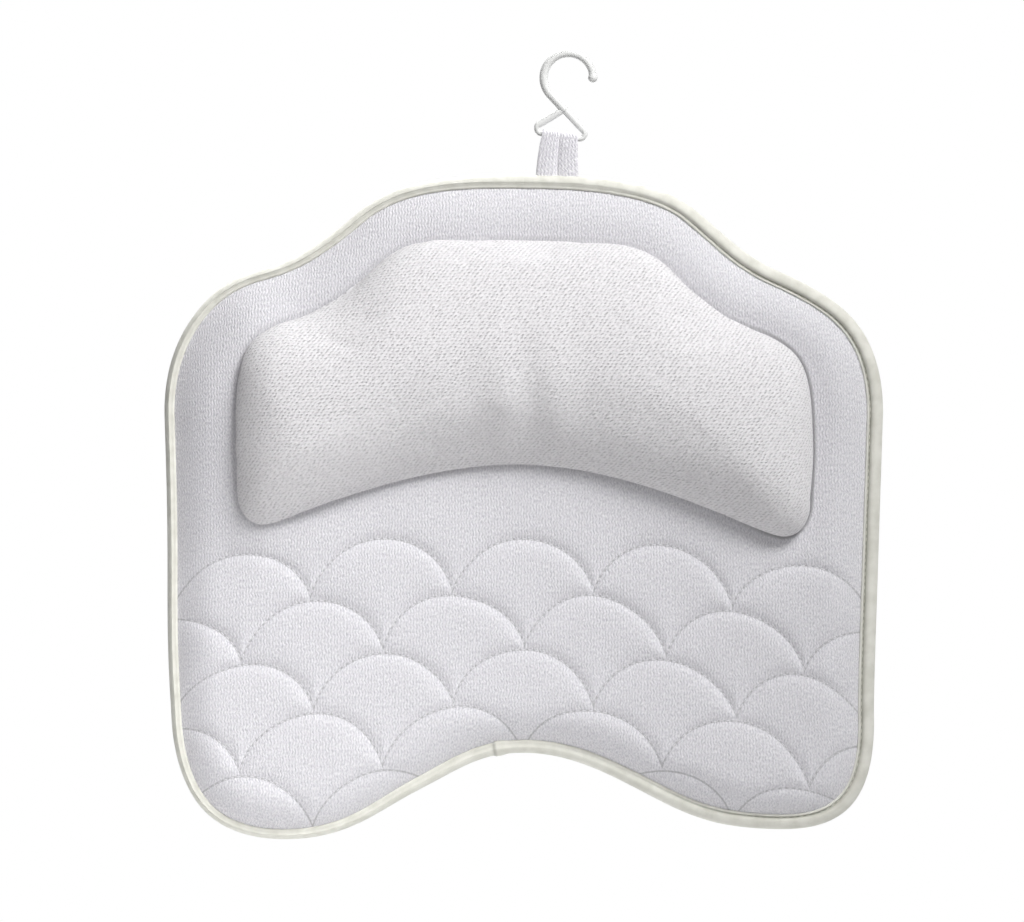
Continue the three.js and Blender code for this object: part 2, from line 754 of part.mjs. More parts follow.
const pillow = new THREE.Group();
pillow.name = "bath_pillow";
pillow.add(
  piece("front_panel", "quilted_mesh", frontPanel()),
  piece("wadding", "fibre", wadding()),
  piece("back_panel", "quilted_mesh", backPanel()),
  piece("edge_binding", "woven_tape", edgeBinding()),
  piece("headrest_cover", "headrest_mesh", headrestCover()),
  piece("headrest_filling", "fibre", headrestFilling()),
  hanger(),
  cups(),
);

export default pillow;
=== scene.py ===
"""Bath pillow: a quilted mesh pad with a bound edge, a raised headrest, a cloth loop that
carries a plastic hook, and suction cups in sewn pockets on the back.

Metres. X runs to the viewer's right, Z up, and the front faces -Y. A depth is a distance
from the plane of the suction lips, Y = 0, towards the front.
"""
import math

import bpy
import numpy as np
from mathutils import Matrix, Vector


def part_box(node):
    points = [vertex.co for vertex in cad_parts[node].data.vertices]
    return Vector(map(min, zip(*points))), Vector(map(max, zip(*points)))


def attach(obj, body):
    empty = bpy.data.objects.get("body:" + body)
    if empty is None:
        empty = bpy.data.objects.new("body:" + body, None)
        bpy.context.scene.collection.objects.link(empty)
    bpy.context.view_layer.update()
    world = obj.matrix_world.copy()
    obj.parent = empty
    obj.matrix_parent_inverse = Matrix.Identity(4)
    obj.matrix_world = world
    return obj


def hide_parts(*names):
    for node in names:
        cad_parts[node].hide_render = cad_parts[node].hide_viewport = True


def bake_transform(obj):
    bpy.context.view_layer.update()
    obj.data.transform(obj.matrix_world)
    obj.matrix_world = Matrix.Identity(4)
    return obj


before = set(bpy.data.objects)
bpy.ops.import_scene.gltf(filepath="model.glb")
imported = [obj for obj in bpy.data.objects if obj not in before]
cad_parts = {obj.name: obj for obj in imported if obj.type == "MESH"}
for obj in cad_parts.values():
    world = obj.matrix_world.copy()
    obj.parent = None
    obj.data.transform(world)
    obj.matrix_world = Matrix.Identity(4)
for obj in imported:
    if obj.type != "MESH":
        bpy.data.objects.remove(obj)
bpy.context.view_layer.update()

MM = 0.001
FIT = 0.3 * MM

# Outlines at the outside of the binding and of the headrest. A pull is a curve handle's reach.
PAD = {
    "width": 430 * MM, "height": 394 * MM, "top": 197 * MM, "crown_pull": 27.8 * MM,
    "slope": (101.6 * MM, 22 * MM), "slope_angle": 39.4, "slope_pull": 35.4 * MM,
    "shelf": (156 * MM, 57.5 * MM), "shelf_angle": 19.8, "shelf_pull": 22.7 * MM,
    "shoulder_drop": 142 * MM, "shoulder_pull": 58.4 * MM, "taper": 5.5 * MM,
    "corner_rise": 71 * MM, "corner_pull_down": 40 * MM, "corner_pull_in": 44 * MM,
    "lobe_x": 148 * MM, "lobe_pull": 66 * MM, "arch_pull": 68 * MM, "arch_rise": 48.5 * MM,
}
HEADREST = {
    "width": 345 * MM, "height": 174 * MM, "top": 159 * MM, "crown_pull": 54.7 * MM,
    "slope": (96 * MM, 23.8 * MM), "slope_angle": 46.4, "slope_pull": 37.2 * MM,
    "shelf": (151.4 * MM, 56.6 * MM), "shelf_angle": 30.6, "shelf_pull": 19.2 * MM,
    "shoulder_drop": 128.3 * MM, "shoulder_pull": 52.6 * MM, "taper": 1.5 * MM,
    "corner_rise": 22 * MM, "corner_pull_down": 14 * MM, "corner_pull_in": 9 * MM,
    "lobe_x": 155 * MM, "lobe_pull": 16 * MM, "arch_pull": 72 * MM, "arch_rise": 39.5 * MM,
}
TILT = math.tan(math.radians(1.3))

# Uneven sewing and hanging: X and Z of each place, its reach, and its shift in X and Z
UNEVEN = np.array([
    (104, 176, 34, 0.7, 1.3), (-108, 170, 30, 0.5, -2.2), (-176, 132, 30, -1.0, 2.0),
    (174, 132, 30, -1.0, -2.0), (185, -176, 40, 3.2, -3.0), (-95, -178, 48, 0, -4.6),
    (-186, -184, 26, -1.2, -0.6), (-150, -195, 45, 0, -2.6), (52, -160, 38, 0, -2.4),
    (150, -195, 45, 0, 3.2), (-213, -90, 62, -2.4, 0), (-50, -160, 26, 0, -3.5),
]) * MM

# Sine waves over the pad, each a height, its turn per metre in X and Z, and a phase: how the
# quilting drifts in X and in Z, and how the filling swells
DRIFT_X = ((0.9 * MM, 31, 47, 0.6), (0.6 * MM, 73, -38, 2.1))
DRIFT_Z = ((0.9 * MM, 43, -29, 1.3), (0.5 * MM, 67, 59, 0.2))
SWELLS = ((0.25, 38, 21, 0), (0.25, -26, 57, 1.7), (0.25, 83, 64, 0.4))
FRONT_SWELL = 0.7 * MM
BACK_SWELL = 0.25 * MM

# Headrest cushion: its upright side, its rounded edge, the rolls at its sides, and its dome
HEADREST_SIDE_RISE = 2.5 * MM
HEADREST_LOWER_SIDE_RISE = 0.5 * MM
HEADREST_LEFT_LIFT = 2.4 * MM
HEADREST_EDGE_RISE = 7 * MM
HEADREST_LOWER_EDGE_RISE = 2.5 * MM
HEADREST_EDGE_REACH = 10 * MM
HEADREST_ROLL_RISE = 11 * MM
HEADREST_ROLL_REACH = 22 * MM
HEADREST_LEFT_ROLL_REACH = 34 * MM
HEADREST_EASE_COUNT = 7
HEADREST_FLAT_FOOT = 0.45
HEADREST_FLAT_FOOT_X = (10 * MM, 110 * MM)
HEADREST_CROWN_RISE = 25 * MM
HEADREST_SEAM_TUCK = 2.5 * MM
HEADREST_SEAM_DEPTH = 1 * MM
HEADREST_SWELL = 3 * MM
RIDGE_LENGTH = 250 * MM
RIDGE_DROP = 84 * MM
RIDGE_BOW_RADIUS = 206 * MM
FOLD_HEIGHT = 0.9 * MM
FOLD_PITCH = 40 * MM
FOLD_CENTRE = (2 * MM, 62 * MM)
FOLD_SPREAD = (52 * MM, 38 * MM)
CLOTH_FRAMES = 20
CLOTH_SETTINGS = {
    "quality": 6, "mass": 0.2, "tension_stiffness": 20, "compression_stiffness": 8,
    "shear_stiffness": 5, "bending_stiffness": 0.8, "use_pressure": True, "uniform_pressure_force": 4,
}

# The panel where it meets the headrest's seam, how dark the painted shade line along the seam is,
# and where the places beside the headrest begin and are full
SEAM_DIP = 0.9 * MM
SEAM_RIGHT_DIP = 3.5 * MM
SEAM_LEFT_DIP = -4.2 * MM
SEAM_REACH = 8 * MM
SEAM_SIDE_REACH = 18 * MM
SEAM_SHADE = 0.22
SEAM_RIGHT_SHADE = 0.95
LEFT_OF_HEADREST = (125 * MM, 168 * MM)
RIGHT_OF_HEADREST = (115 * MM, 165 * MM)

# Depths of the pad's layers
BACK_FACE = 15.1 * MM
FRONT_SEAT = 18.4 * MM
RIM_FACE = 21.4 * MM
STITCH_FACE = 31.9 * MM
HEADREST_SEAT = 35 * MM

# Cloth of the front and the back: rings from the rim over the roll to a spine
PANEL_INSET = 3 * MM
FRONT_LAP = 0.6 * MM
ROLL_REACH = 24 * MM
ROLL_POWER = 2.1
ROLL_RINGS = 26
FRONT_RINGS = 190
BACK_ROLL_REACH = 22 * MM
BACK_ROLL_RINGS = 10
BACK_RINGS = 84
BACK_DIMPLE = 1.6 * MM
BACK_DIMPLE_REACH = 4.5 * MM
SPINE_HEIGHT = 55 * MM
SPINE_REACH = 0.56
PAD_EDGE_COUNT = 1600
BACK_EDGE_COUNT = 720
HEADREST_EDGE_COUNT = 300

# How far the face lies back at its top and at its sides, and where that begins
TOP_LEAN = 8 * MM
TOP_LEAN_START = 50 * MM
SIDE_LEAN = 5 * MM
SIDE_LEAN_START = 105 * MM
MOST_LEAN = 9 * MM

# Quilting
QUILT_PITCH = 84 * MM
QUILT_ROW_PITCH = 33.3 * MM
QUILT_CUSP_GAP = 3 * MM
QUILT_TOP = 197 * MM - 216.5 * MM
QUILT_BOW_RADIUS = 1100 * MM
QUILT_PUFF = 2.2 * MM
QUILT_EASE = 3 * MM
QUILT_DOME = 0.8 * MM
QUILT_REACH = 20 * MM
QUILT_CORNER = 0.9 * MM
# Width of the painted shade line along each quilting crease
CREASE_WIDTH = 0.8 * MM
PUCKER_HEIGHT = 0.12 * MM
PUCKER_LENGTH = 1.05 * MM
PUCKER_REACH = 3 * MM
QUILT_ROWS = 6
QUILT_RISE = QUILT_ROW_PITCH - QUILT_CUSP_GAP
QUILT_RADIUS = ((QUILT_PITCH / 2) ** 2 + QUILT_RISE ** 2) / (2 * QUILT_RISE)

# Binding tape, narrower on the viewer's left than on the right
BINDING_LEFT_WIDTH = 6.2 * MM
BINDING_RIGHT_WIDTH = 9.8 * MM
BINDING_BACK_WIDTH = 10 * MM
BINDING_MIDDLE = 18.25 * MM
BINDING_GROOVE = 2 * MM
BINDING_GROOVE_DEPTH = 21.7 * MM
TAPE_END_X = -17 * MM
TAPE_LAP = 9 * MM
TAPE_RIPPLE = 0.12 * MM
BACK_STITCH_INSET = 7.9 * MM
BACK_STITCH_DEPTH = 13.8 * MM

# Hanging loop and hook, from the seam that the loop turns about
LOOP_SEAM = np.array([20.0195, -18.25, 198.3555]) * MM
LOOP_SLOPE = math.asin(0.0122)
LOOP_WIDTH = 25 * MM
LOOP_TOP_WIDTH = 21.5 * MM
LOOP_LENGTH = 22 * MM
LOOP_CLOTH = 1.2 * MM
LOOP_ROOT = 3.4 * MM
LOOP_RIDGE = 0.75 * MM
LOOP_CREASE = 0.45 * MM
HOOK_LEAN = math.radians(8)
HOOK_ROD = 4.9 * MM
HOOK_RADIUS = 14.7 * MM
HOOK_NECK = 4.2 * MM
HOOK_TIP_ANGLE = math.radians(8)
HOOK_TIP_BALL = 5.6 * MM
HOOK_TAPER = 0.14
HOOK_TAPER_REACH = 20 * MM
HOOK_BALL_REACH = 2.2 * MM
HOOK_ROD_LENGTH = 70 * MM
FRAME_ROD = 3.4 * MM
FRAME_BAR_EASE = 2.6 * MM
FRAME_FLARE = 1.6 * MM
FRAME_CORNER_RISE = 4 * MM
FRAME_APEX_RISE = 16.2 * MM
FRAME_CORNER_ROUND = 2 * MM

# Suction cups and their pockets
CUP_COUNT = 6
CUP_RADIUS = 26 * MM
CUP_LIP_WIDTH = 3.5 * MM
CUP_LIP_THICKNESS = 1.2 * MM
CUP_DISH_DEPTH = 7 * MM
CUP_WALL = 2.2 * MM
CUP_SHOULDER_RADIUS = 9 * MM
CUP_NECK_RADIUS = 4 * MM
CUP_NECK_START = 9.2 * MM
CUP_HEAD_START = 12.2 * MM
CUP_HEAD_RADIUS = 7.5 * MM
CUP_HEAD_THICKNESS = 2.6 * MM
CUP_RINGS = (15 * MM, 19 * MM)
CUP_RING_HEIGHT = 0.18 * MM
CUP_RING_WIDTH = 0.5 * MM
POCKET_FACE = 10.7 * MM
POCKET_CLOTH = 1.2 * MM
POCKET_RADIUS = 19 * MM
POCKET_SLOPE = 3 * MM
POCKET_MARGIN = 3 * MM
POCKET_FOLD = 0.22 * MM
POCKET_FOLD_RADIUS = 14 * MM
POCKET_FOLD_REACH = 2.2 * MM

# Threads, and a stitch's profile: places along it, thicknesses and lifts
STITCH_LENGTH = 2.9 * MM
STITCH_SPACING = 4.1 * MM
THREAD_RADIUS = 0.28 * MM
POCKET_STITCH_INSET = 2.2 * MM
POCKET_STITCH_LENGTH = 2.3 * MM
POCKET_STITCH_SPACING = 3.2 * MM
STITCH_SIDES = 6
STITCH_PROFILE = ((-1, 0.35, -0.9), (-0.8, 0.9, 0.1), (0, 1, 0.6), (0.8, 0.9, 0.1), (1, 0.35, -0.9))

# Colours: the pale and the shaded yarn of each cloth, then the tape's painted shade and painted highlight,
# and the threads
PANEL_YARN = (0.86, 0.85, 0.875, 1), (0.60, 0.59, 0.63, 1)
LOOP_YARN = (0.97, 0.96, 0.985, 1), (0.72, 0.70, 0.76, 1)
HEADREST_YARN = (0.87, 0.855, 0.868, 1), (0.52, 0.505, 0.52, 1)
TAPE_YARN = (0.83, 0.825, 0.755, 1), (0.63, 0.625, 0.55, 1)
TAPE_GROOVE_SHADE = (0.30, 0.30, 0.26, 1)
TAPE_LIP_HIGHLIGHT = (0.90, 0.90, 0.84, 1)
WHITE_THREAD = (0.84, 0.83, 0.86, 1)
CREAM_THREAD = (0.83, 0.82, 0.74, 1)
CLOTH_FINISH = {"Sheen_Weight": 0.15, "Sheen_Roughness": 0.5, "Specular_IOR_Level": 0.3}

# Camera and studio
IMAGE_WIDTH = 1024
METRES_PER_PIXEL = 0.5965 * MM
CAMERA_DISTANCE = 3.4
CAMERA_AZIMUTH = math.radians(0)
CAMERA_ELEVATION = math.radians(2)
CAMERA_AIM = (-7 * MM, -30 * MM, 26.5 * MM)
SENSOR_WIDTH = 36
FLOOR_HEIGHT = -0.40
FLOOR_RADIUS = 0.62
ROOM_LIGHT = 0.2

# Each lamp's place, what it faces, its size, watts and spread in degrees
LAMPS = {
    "key": ((0.9, -1.4, 1.95), (-0.32, 0, 0.27), 1.3, 8.2, 45),
    "glow": ((-0.4, -1.3, -0.45), (-0.12, 0, -0.18), 0.3, 0.11, 25),
    "fill": ((0, -1, -0.36), (0, 0, 0.05), 0.4, 0.7, 180),
    "back": ((-0.4, 1.3, 1.5), (0, 0, 0), 1.2, 6, 60),
}


# Curves and meshes


def bezier(a, b, c, d, steps):
    """Cubic curve from a to d with handles b and c, without its first point."""
    t = np.linspace(0, 1, steps + 1)[1:, None]
    a, b, c, d = (np.asarray(p, float) for p in (a, b, c, d))
    return (1 - t) ** 3 * a + 3 * t * (1 - t) ** 2 * b + 3 * t ** 2 * (1 - t) * c + t ** 3 * d


def travelled(path):
    """Distance along a path at each of its points."""
    return np.concatenate([[0], np.cumsum(np.linalg.norm(np.diff(path, axis=0), axis=1))])


def along_path(path, distances):
    """Points of a path at distances along it."""
    lengths = travelled(path)
    return np.stack([np.interp(distances, lengths, column) for column in path.T], axis=1)


def evenly(path, count):
    """Points at even steps along a path."""
    return along_path(path, np.linspace(0, travelled(path)[-1], count))


def full_turn(count):
    """Angles at even steps round a circle."""
    return np.arange(count) * 2 * math.pi / count


def round_points(turn):
    """Points of a unit circle at angles."""
    return np.stack([np.cos(turn), np.sin(turn)], axis=1)


def smooth_closed(points, count):
    """A closed curve through points: on each span a cubic with the neighbours' slopes."""
    points = np.asarray(points, float)
    place = np.linspace(0, len(points), count, endpoint=False)
    span = place.astype(int)
    t = (place - span)[:, None]
    before, here, after, beyond = (points[(span + k) % len(points)] for k in (-1, 0, 1, 2))
    bend = 2 * before - 5 * here + 4 * after - beyond
    twist = -before + 3 * here - 3 * after + beyond
    return here + 0.5 * t * ((after - before) + t * (bend + t * twist))


def downwards(angle):
    """Direction to the right and down, at an angle below level."""
    turn = math.radians(angle)
    return np.array([math.cos(turn), -math.sin(turn)])


def pad_outline(size, count):
    """Closed outline clockwise from its top centre: crown, slope, shelf, shoulder, side, lower
    corner, lobe and half of the arch as curves, then the same mirrored."""
    side = size["width"] / 2
    foot = side - size["taper"]
    bottom = size["top"] - size["height"]
    crown = np.array([0, size["top"]])
    slope = crown + size["slope"] * np.array([1, -1])
    shelf = crown + size["shelf"] * np.array([1, -1])
    slope_reach = size["slope_pull"] * downwards(size["slope_angle"])
    shelf_reach = size["shelf_pull"] * downwards(size["shelf_angle"])
    shoulder = (side, size["top"] - size["shoulder_drop"])
    corner = (foot, bottom + size["corner_rise"])
    lobe = (size["lobe_x"], bottom)
    arch = (0, bottom + size["arch_rise"])
    half = np.concatenate([
        [crown],
        bezier(crown, (size["crown_pull"], size["top"]), slope - slope_reach, slope, 150),
        bezier(slope, slope + slope_reach, shelf - shelf_reach, shelf, 150),
        bezier(shelf, shelf + shelf_reach, (side, shoulder[1] + size["shoulder_pull"]), shoulder, 150),
        [corner],
        bezier(corner, (foot, corner[1] - size["corner_pull_down"]),
               (size["lobe_x"] + size["corner_pull_in"], bottom), lobe, 150),
        bezier(lobe, (size["lobe_x"] - size["lobe_pull"], bottom), (size["arch_pull"], arch[1]), arch, 150),
    ])
    right = evenly(half, count // 2 + 1)
    return np.concatenate([right, right[-2:0:-1] * (-1, 1)])


def inward(outline):
    """Unit directions square to an outline, into it."""
    along = np.roll(outline, -1, axis=0) - np.roll(outline, 1, axis=0)
    along /= np.linalg.norm(along, axis=1, keepdims=True)
    return np.stack([along[:, 1], -along[:, 0]], axis=1)


def distance_to(points, outline):
    """Distance of points to a closed outline, positive outside it: the least distance to its
    segments, with a sign from how often a level ray crosses them."""
    start = outline
    step = np.roll(outline, -1, axis=0) - outline
    flat = points.reshape(-1, 2)
    found = np.empty(len(flat))
    for part in np.array_split(np.arange(len(flat)), max(1, len(flat) // 8000)):
        offset = flat[part, None] - start
        share = np.clip((offset * step).sum(axis=2) / (step ** 2).sum(axis=1), 0, 1)
        gap = np.linalg.norm(offset - share[..., None] * step, axis=2).min(axis=1)
        rises = (offset[..., 1] >= 0) != (offset[..., 1] >= step[:, 1])
        with np.errstate(divide="ignore", invalid="ignore"):
            crossing = step[:, 0] * offset[..., 1] / step[:, 1] - offset[..., 0]
        inside = (rises & (crossing > 0)).sum(axis=1) % 2 == 1
        found[part] = np.where(inside, -gap, gap)
    return found.reshape(points.shape[:-1])


def between(first, second, share):
    """A value between two, by a share."""
    return first + (second - first) * share


def smoothstep(value, start, end):
    """0 before start, 1 after end, and an even S between."""
    t = np.clip((value - start) / (end - start), 0, 1)
    return t * t * (3 - 2 * t)


def waves(plane, table):
    """Sum of a table's sine waves over X and Z."""
    height, along_x, along_z, phase = np.transpose(table)
    angle = plane[..., :1] * along_x + plane[..., 1:] * along_z + phase
    return (height * np.sin(angle)).sum(axis=-1)


def rungs(count):
    """Quads that fill a ring, each across it between two pairs of neighbours."""
    i = np.arange(count // 2 - 1)
    turn = count // 4
    return np.stack([turn + i, turn + i + 1, turn - 2 - i, turn - 1 - i], axis=1) % count


def outwards(points, quads):
    """True if the quads of a closed mesh face out: the volume under them is positive."""
    a, b, c, d = (points[quads[:, k]] for k in range(4))
    return (a * (np.cross(b, c) + np.cross(c, d))).sum() > 0


def mesh_piece(name, points, quads, corner_uvs=None):
    """An object of smooth quads, turned to face out, with named UVs in metres at each corner."""
    corner_uvs = corner_uvs or {}
    if not outwards(points, quads):
        quads = quads[:, ::-1]
        corner_uvs = {layer: uv[:, ::-1] for layer, uv in corner_uvs.items()}
    mesh = bpy.data.meshes.new(name)
    mesh.vertices.add(len(points))
    mesh.vertices.foreach_set("co", points.astype(np.float32).ravel())
    mesh.loops.add(quads.size)
    mesh.loops.foreach_set("vertex_index", quads.astype(np.int32).ravel())
    mesh.polygons.add(len(quads))
    mesh.polygons.foreach_set("loop_start", np.arange(0, quads.size, 4, dtype=np.int32))
    mesh.polygons.foreach_set("use_smooth", np.ones(len(quads), bool))
    for layer, uv in corner_uvs.items():
        made = mesh.uv_layers.new(name=layer)
        made.data.foreach_set("uv", uv.astype(np.float32).ravel())
    mesh.update(calc_edges=True)
    piece = bpy.data.objects.new(name, mesh)
    bpy.context.scene.collection.objects.link(piece)
    return piece


def grid_corners(rows, columns):
    """Rows and columns of the corners of a grid's quads."""
    r, c = np.meshgrid(np.arange(rows), np.arange(columns), indexing="ij")
    return r.reshape(-1, 1) + (0, 0, 1, 1), c.reshape(-1, 1) + (0, 1, 1, 0)


def grid_piece(name, points, uvs=None, wrap_rows=False):
    """A closed piece from a grid of points whose columns wrap round. Its rows wrap as well, or
    its first and last rows are filled. UV grids have one more column, and row, where they wrap."""
    rows, columns = points.shape[:2]
    row, column = grid_corners(rows - (not wrap_rows), columns)
    quads = (row % rows) * columns + column % columns
    uvs = uvs or {}
    corner_uvs = {layer: uv[row, column] for layer, uv in uvs.items()}
    if not wrap_rows:
        ladder = rungs(columns)
        quads = np.concatenate([quads, ladder[:, ::-1], (rows - 1) * columns + ladder])
        for layer, uv in uvs.items():
            ends = uv[0, ladder[:, ::-1]], uv[-1, ladder]
            corner_uvs[layer] = np.concatenate([corner_uvs[layer], *ends])
    return mesh_piece(name, points.reshape(-1, 3), quads, corner_uvs)


def place(plane, depth):
    """Points from their X and Z and a depth."""
    return np.stack(np.broadcast_arrays(plane[..., 0], -depth, plane[..., 1]), axis=-1)


def wrapped(grid, axis=1):
    """A grid with its first column, or row, repeated at the end."""
    return np.concatenate([grid, np.take(grid, [0], axis)], axis=axis)


def cloth_uv(points, plane):
    """UV of rings of cloth: from the innermost ring outwards, each step keeps its direction in
    the plane and takes its length on the surface."""
    step = plane[:-1] - plane[1:]
    flat = np.linalg.norm(step, axis=-1, keepdims=True)
    real = np.linalg.norm(points[:-1] - points[1:], axis=-1, keepdims=True)
    grown = step * np.clip(real / np.maximum(flat, 1e-6), 1, 3)
    travelled = np.cumsum(grown[::-1], axis=0)[::-1]
    return wrapped(np.concatenate([plane[-1:] + travelled, plane[-1:]]))


def stitch_row(path, facing, spacing=STITCH_SPACING):
    """Middles, directions and normals of the stitches along a path, on cloth that faces to the
    back, 1, or to the front, -1."""
    middles = np.arange(spacing / 2, travelled(path)[-1], spacing)
    along = along_path(path, middles + spacing / 4) - along_path(path, middles - spacing / 4)
    along /= np.linalg.norm(along, axis=1, keepdims=True)
    normal = (0, facing, 0) - facing * along[:, 1:2] * along
    normal /= np.linalg.norm(normal, axis=1, keepdims=True)
    return along_path(path, middles), along, normal


def stitch_piece(name, rows, length=STITCH_LENGTH):
    """Stitches as short threads: rings along each stitch, thin and sunk at its ends and full at
    its middle."""
    middle, along, normal = (np.concatenate(part)[:, None] for part in zip(*rows))
    side = np.cross(along, normal)
    share, full, lift = (column[:, None] for column in np.transpose(STITCH_PROFILE))
    turn = full_turn(STITCH_SIDES)[:, None]
    ring = np.cos(turn) * side[:, None] + np.sin(turn) * normal[:, None]
    core = middle + along * share * length / 2 + normal * lift * THREAD_RADIUS
    points = core[:, :, None] + ring * full[..., None] * THREAD_RADIUS
    row, column = grid_corners(len(share) - 1, STITCH_SIDES)
    ends = rungs(STITCH_SIDES)
    last = (len(share) - 1) * STITCH_SIDES
    one = np.concatenate([row * STITCH_SIDES + column % STITCH_SIDES, ends[:, ::-1], last + ends])
    start = np.arange(len(middle))[:, None, None] * len(share) * STITCH_SIDES
    return mesh_piece(name, points.reshape(-1, 3), (start + one).reshape(-1, 4))


# Shape of the pad


def sewn_tilt(outline):
    """An outline turned the little that the headrest is sewn askew."""
    return np.stack([outline[:, 0], outline[:, 1] - outline[:, 0] * TILT], axis=1)


headrest_edge = sewn_tilt(pad_outline(HEADREST, HEADREST_EDGE_COUNT))


def binding_width(x):
    """Width of the binding's front leaf, which grows from the pad's left to its right."""
    share = smoothstep(x, -PAD["width"] / 2, PAD["width"] / 2)
    return between(BINDING_LEFT_WIDTH, BINDING_RIGHT_WIDTH, share)


def hang(points):
    """Points of the pad as it is sewn and hangs: near each uneven place they shift by a bell of
    the distance to it."""
    gap = points[..., None, ::2] - UNEVEN[:, :2]
    share = np.exp(-(gap ** 2).sum(axis=-1) / UNEVEN[:, 2] ** 2)
    shift = share @ UNEVEN[:, 3:]
    return points + np.stack([shift[..., 0], np.zeros(shift.shape[:-1]), shift[..., 1]], axis=-1)


def sewing_drift(plane):
    """Small smooth drift of the hand-guided quilting, in X and Z."""
    return np.stack([waves(plane, DRIFT_X), waves(plane, DRIFT_Z)], axis=-1)


def quilt_place(plane):
    """X and the drop below the first row's peaks, with the rows' bow, tilt and drift taken out."""
    moved = plane + sewing_drift(plane)
    x, z = moved[..., 0], moved[..., 1]
    return x, QUILT_TOP - z - x ** 2 / (2 * QUILT_BOW_RADIUS) - x * TILT


def from_peak(x, row):
    """X from the nearest peak of a row, where each row is set half a pitch from the next."""
    turn = x / QUILT_PITCH + (row % 2) / 2
    return (turn - np.round(turn)) * QUILT_PITCH


def quilt_field(plane):
    """Distance to the nearest stitch line, place along it, and the row of each point, with -1
    above the first row. Each row's lines are arcs of circles, so a distance is the difference
    between a point's distance to the centre and the radius. Where two lines are equally near,
    a soft minimum rounds the corner."""
    x, drop = quilt_place(plane)
    row = np.full(x.shape, -1)
    for k in range(QUILT_ROWS):
        arc = k * QUILT_ROW_PITCH + QUILT_RADIUS - np.sqrt(QUILT_RADIUS ** 2 - from_peak(x, k) ** 2)
        row += drop > arc
    upper_x, lower_x = from_peak(x, row), from_peak(x, row + 1)
    upper_z = row * QUILT_ROW_PITCH + QUILT_RADIUS - drop
    lower_z = upper_z + QUILT_ROW_PITCH
    upper = np.where(row < 0, 1, QUILT_RADIUS - np.hypot(upper_x, upper_z))
    lower = np.hypot(lower_x, lower_z) - QUILT_RADIUS
    nearest = np.minimum(upper, lower)
    blended = nearest - QUILT_CORNER * np.log1p(np.exp(-np.abs(upper - lower) / QUILT_CORNER))
    at_line = QUILT_CORNER * math.log(2) * np.exp(-nearest / QUILT_CORNER)
    distance = np.maximum(blended + at_line, 0)
    turn = np.where(upper < lower, np.arctan2(upper_x, upper_z), np.arctan2(lower_x, lower_z))
    return distance, turn * QUILT_RADIUS, row


def lean(plane):
    """How far the face lies back, as parabolas towards the top and the sides."""
    up = np.maximum(plane[..., 1] - TOP_LEAN_START, 0) / (PAD["top"] - TOP_LEAN_START)
    out = np.maximum(np.abs(plane[..., 0]) - SIDE_LEAN_START, 0)
    out = out / (PAD["width"] / 2 - SIDE_LEAN_START)
    return MOST_LEAN * np.tanh((TOP_LEAN * up ** 2 + SIDE_LEAN * out ** 2) / MOST_LEAN)


def beside_headrest(x):
    """Shares of the places left and right of the headrest, which ease in near its corners."""
    return smoothstep(-x, *LEFT_OF_HEADREST), smoothstep(x, *RIGHT_OF_HEADREST)


def seam_dip(x):
    """How far the panel dips to the headrest's seam, and from how far off: little above and
    below it, more on the right, while on the left the filling pulls the panel up."""
    left, right = beside_headrest(x)
    dip = SEAM_DIP + (SEAM_LEFT_DIP - SEAM_DIP) * left + (SEAM_RIGHT_DIP - SEAM_DIP) * right
    return dip, between(SEAM_REACH, SEAM_SIDE_REACH, left + right)


def front_depth(plane, edge_gap, seam_gap):
    """Depth of the quilted face. Each shell rises steeply from its stitch lines and levels off
    to a low dome, with fine puckers square to the line. The plain part dips to the first stitch
    row, meets the headrest's seam as seam_dip says, and the whole face leans back and rolls down
    to the binding."""
    distance, along, row = quilt_field(plane)
    steep = 1 - np.exp(-distance / QUILT_EASE)
    dome = 1 - (1 - np.clip(distance / QUILT_REACH, 0, 1)) ** 2
    pucker = PUCKER_HEIGHT * np.sin(along / PUCKER_LENGTH + 2 * np.sin(along / (6 * MM)))
    pucker = pucker * np.exp(-distance / PUCKER_REACH)
    face = STITCH_FACE + QUILT_PUFF * steep + pucker + FRONT_SWELL * waves(plane, SWELLS)
    face = face + np.where(row < 0, 0, QUILT_DOME * dome)
    dip, reach = seam_dip(plane[..., 0])
    face -= dip * np.exp(-(np.maximum(seam_gap, 0) / reach) ** 1.5)
    face -= lean(plane)
    share = np.clip(edge_gap / ROLL_REACH, 0, 1)
    return RIM_FACE + (face - RIM_FACE) * (1 - (1 - share) ** ROLL_POWER)


def pad_rings(edge, insets, inner_rings):
    """Rings of X and Z from the pad's edge: first square to it, by insets, and then straight to
    near a level spine."""
    outer = edge + inward(edge) * insets[..., None]
    spine = np.stack([edge[:, 0] * SPINE_REACH, np.full(len(edge), SPINE_HEIGHT)], axis=1)
    share = np.linspace(0, 0.985, inner_rings + 1)[1:, None, None]
    return np.concatenate([outer, between(outer[-1], spine, share)])


def sewn_uv(plane):
    """Places of rings of cloth in the quilting, as a UV."""
    return wrapped(np.stack(quilt_place(plane), axis=-1))


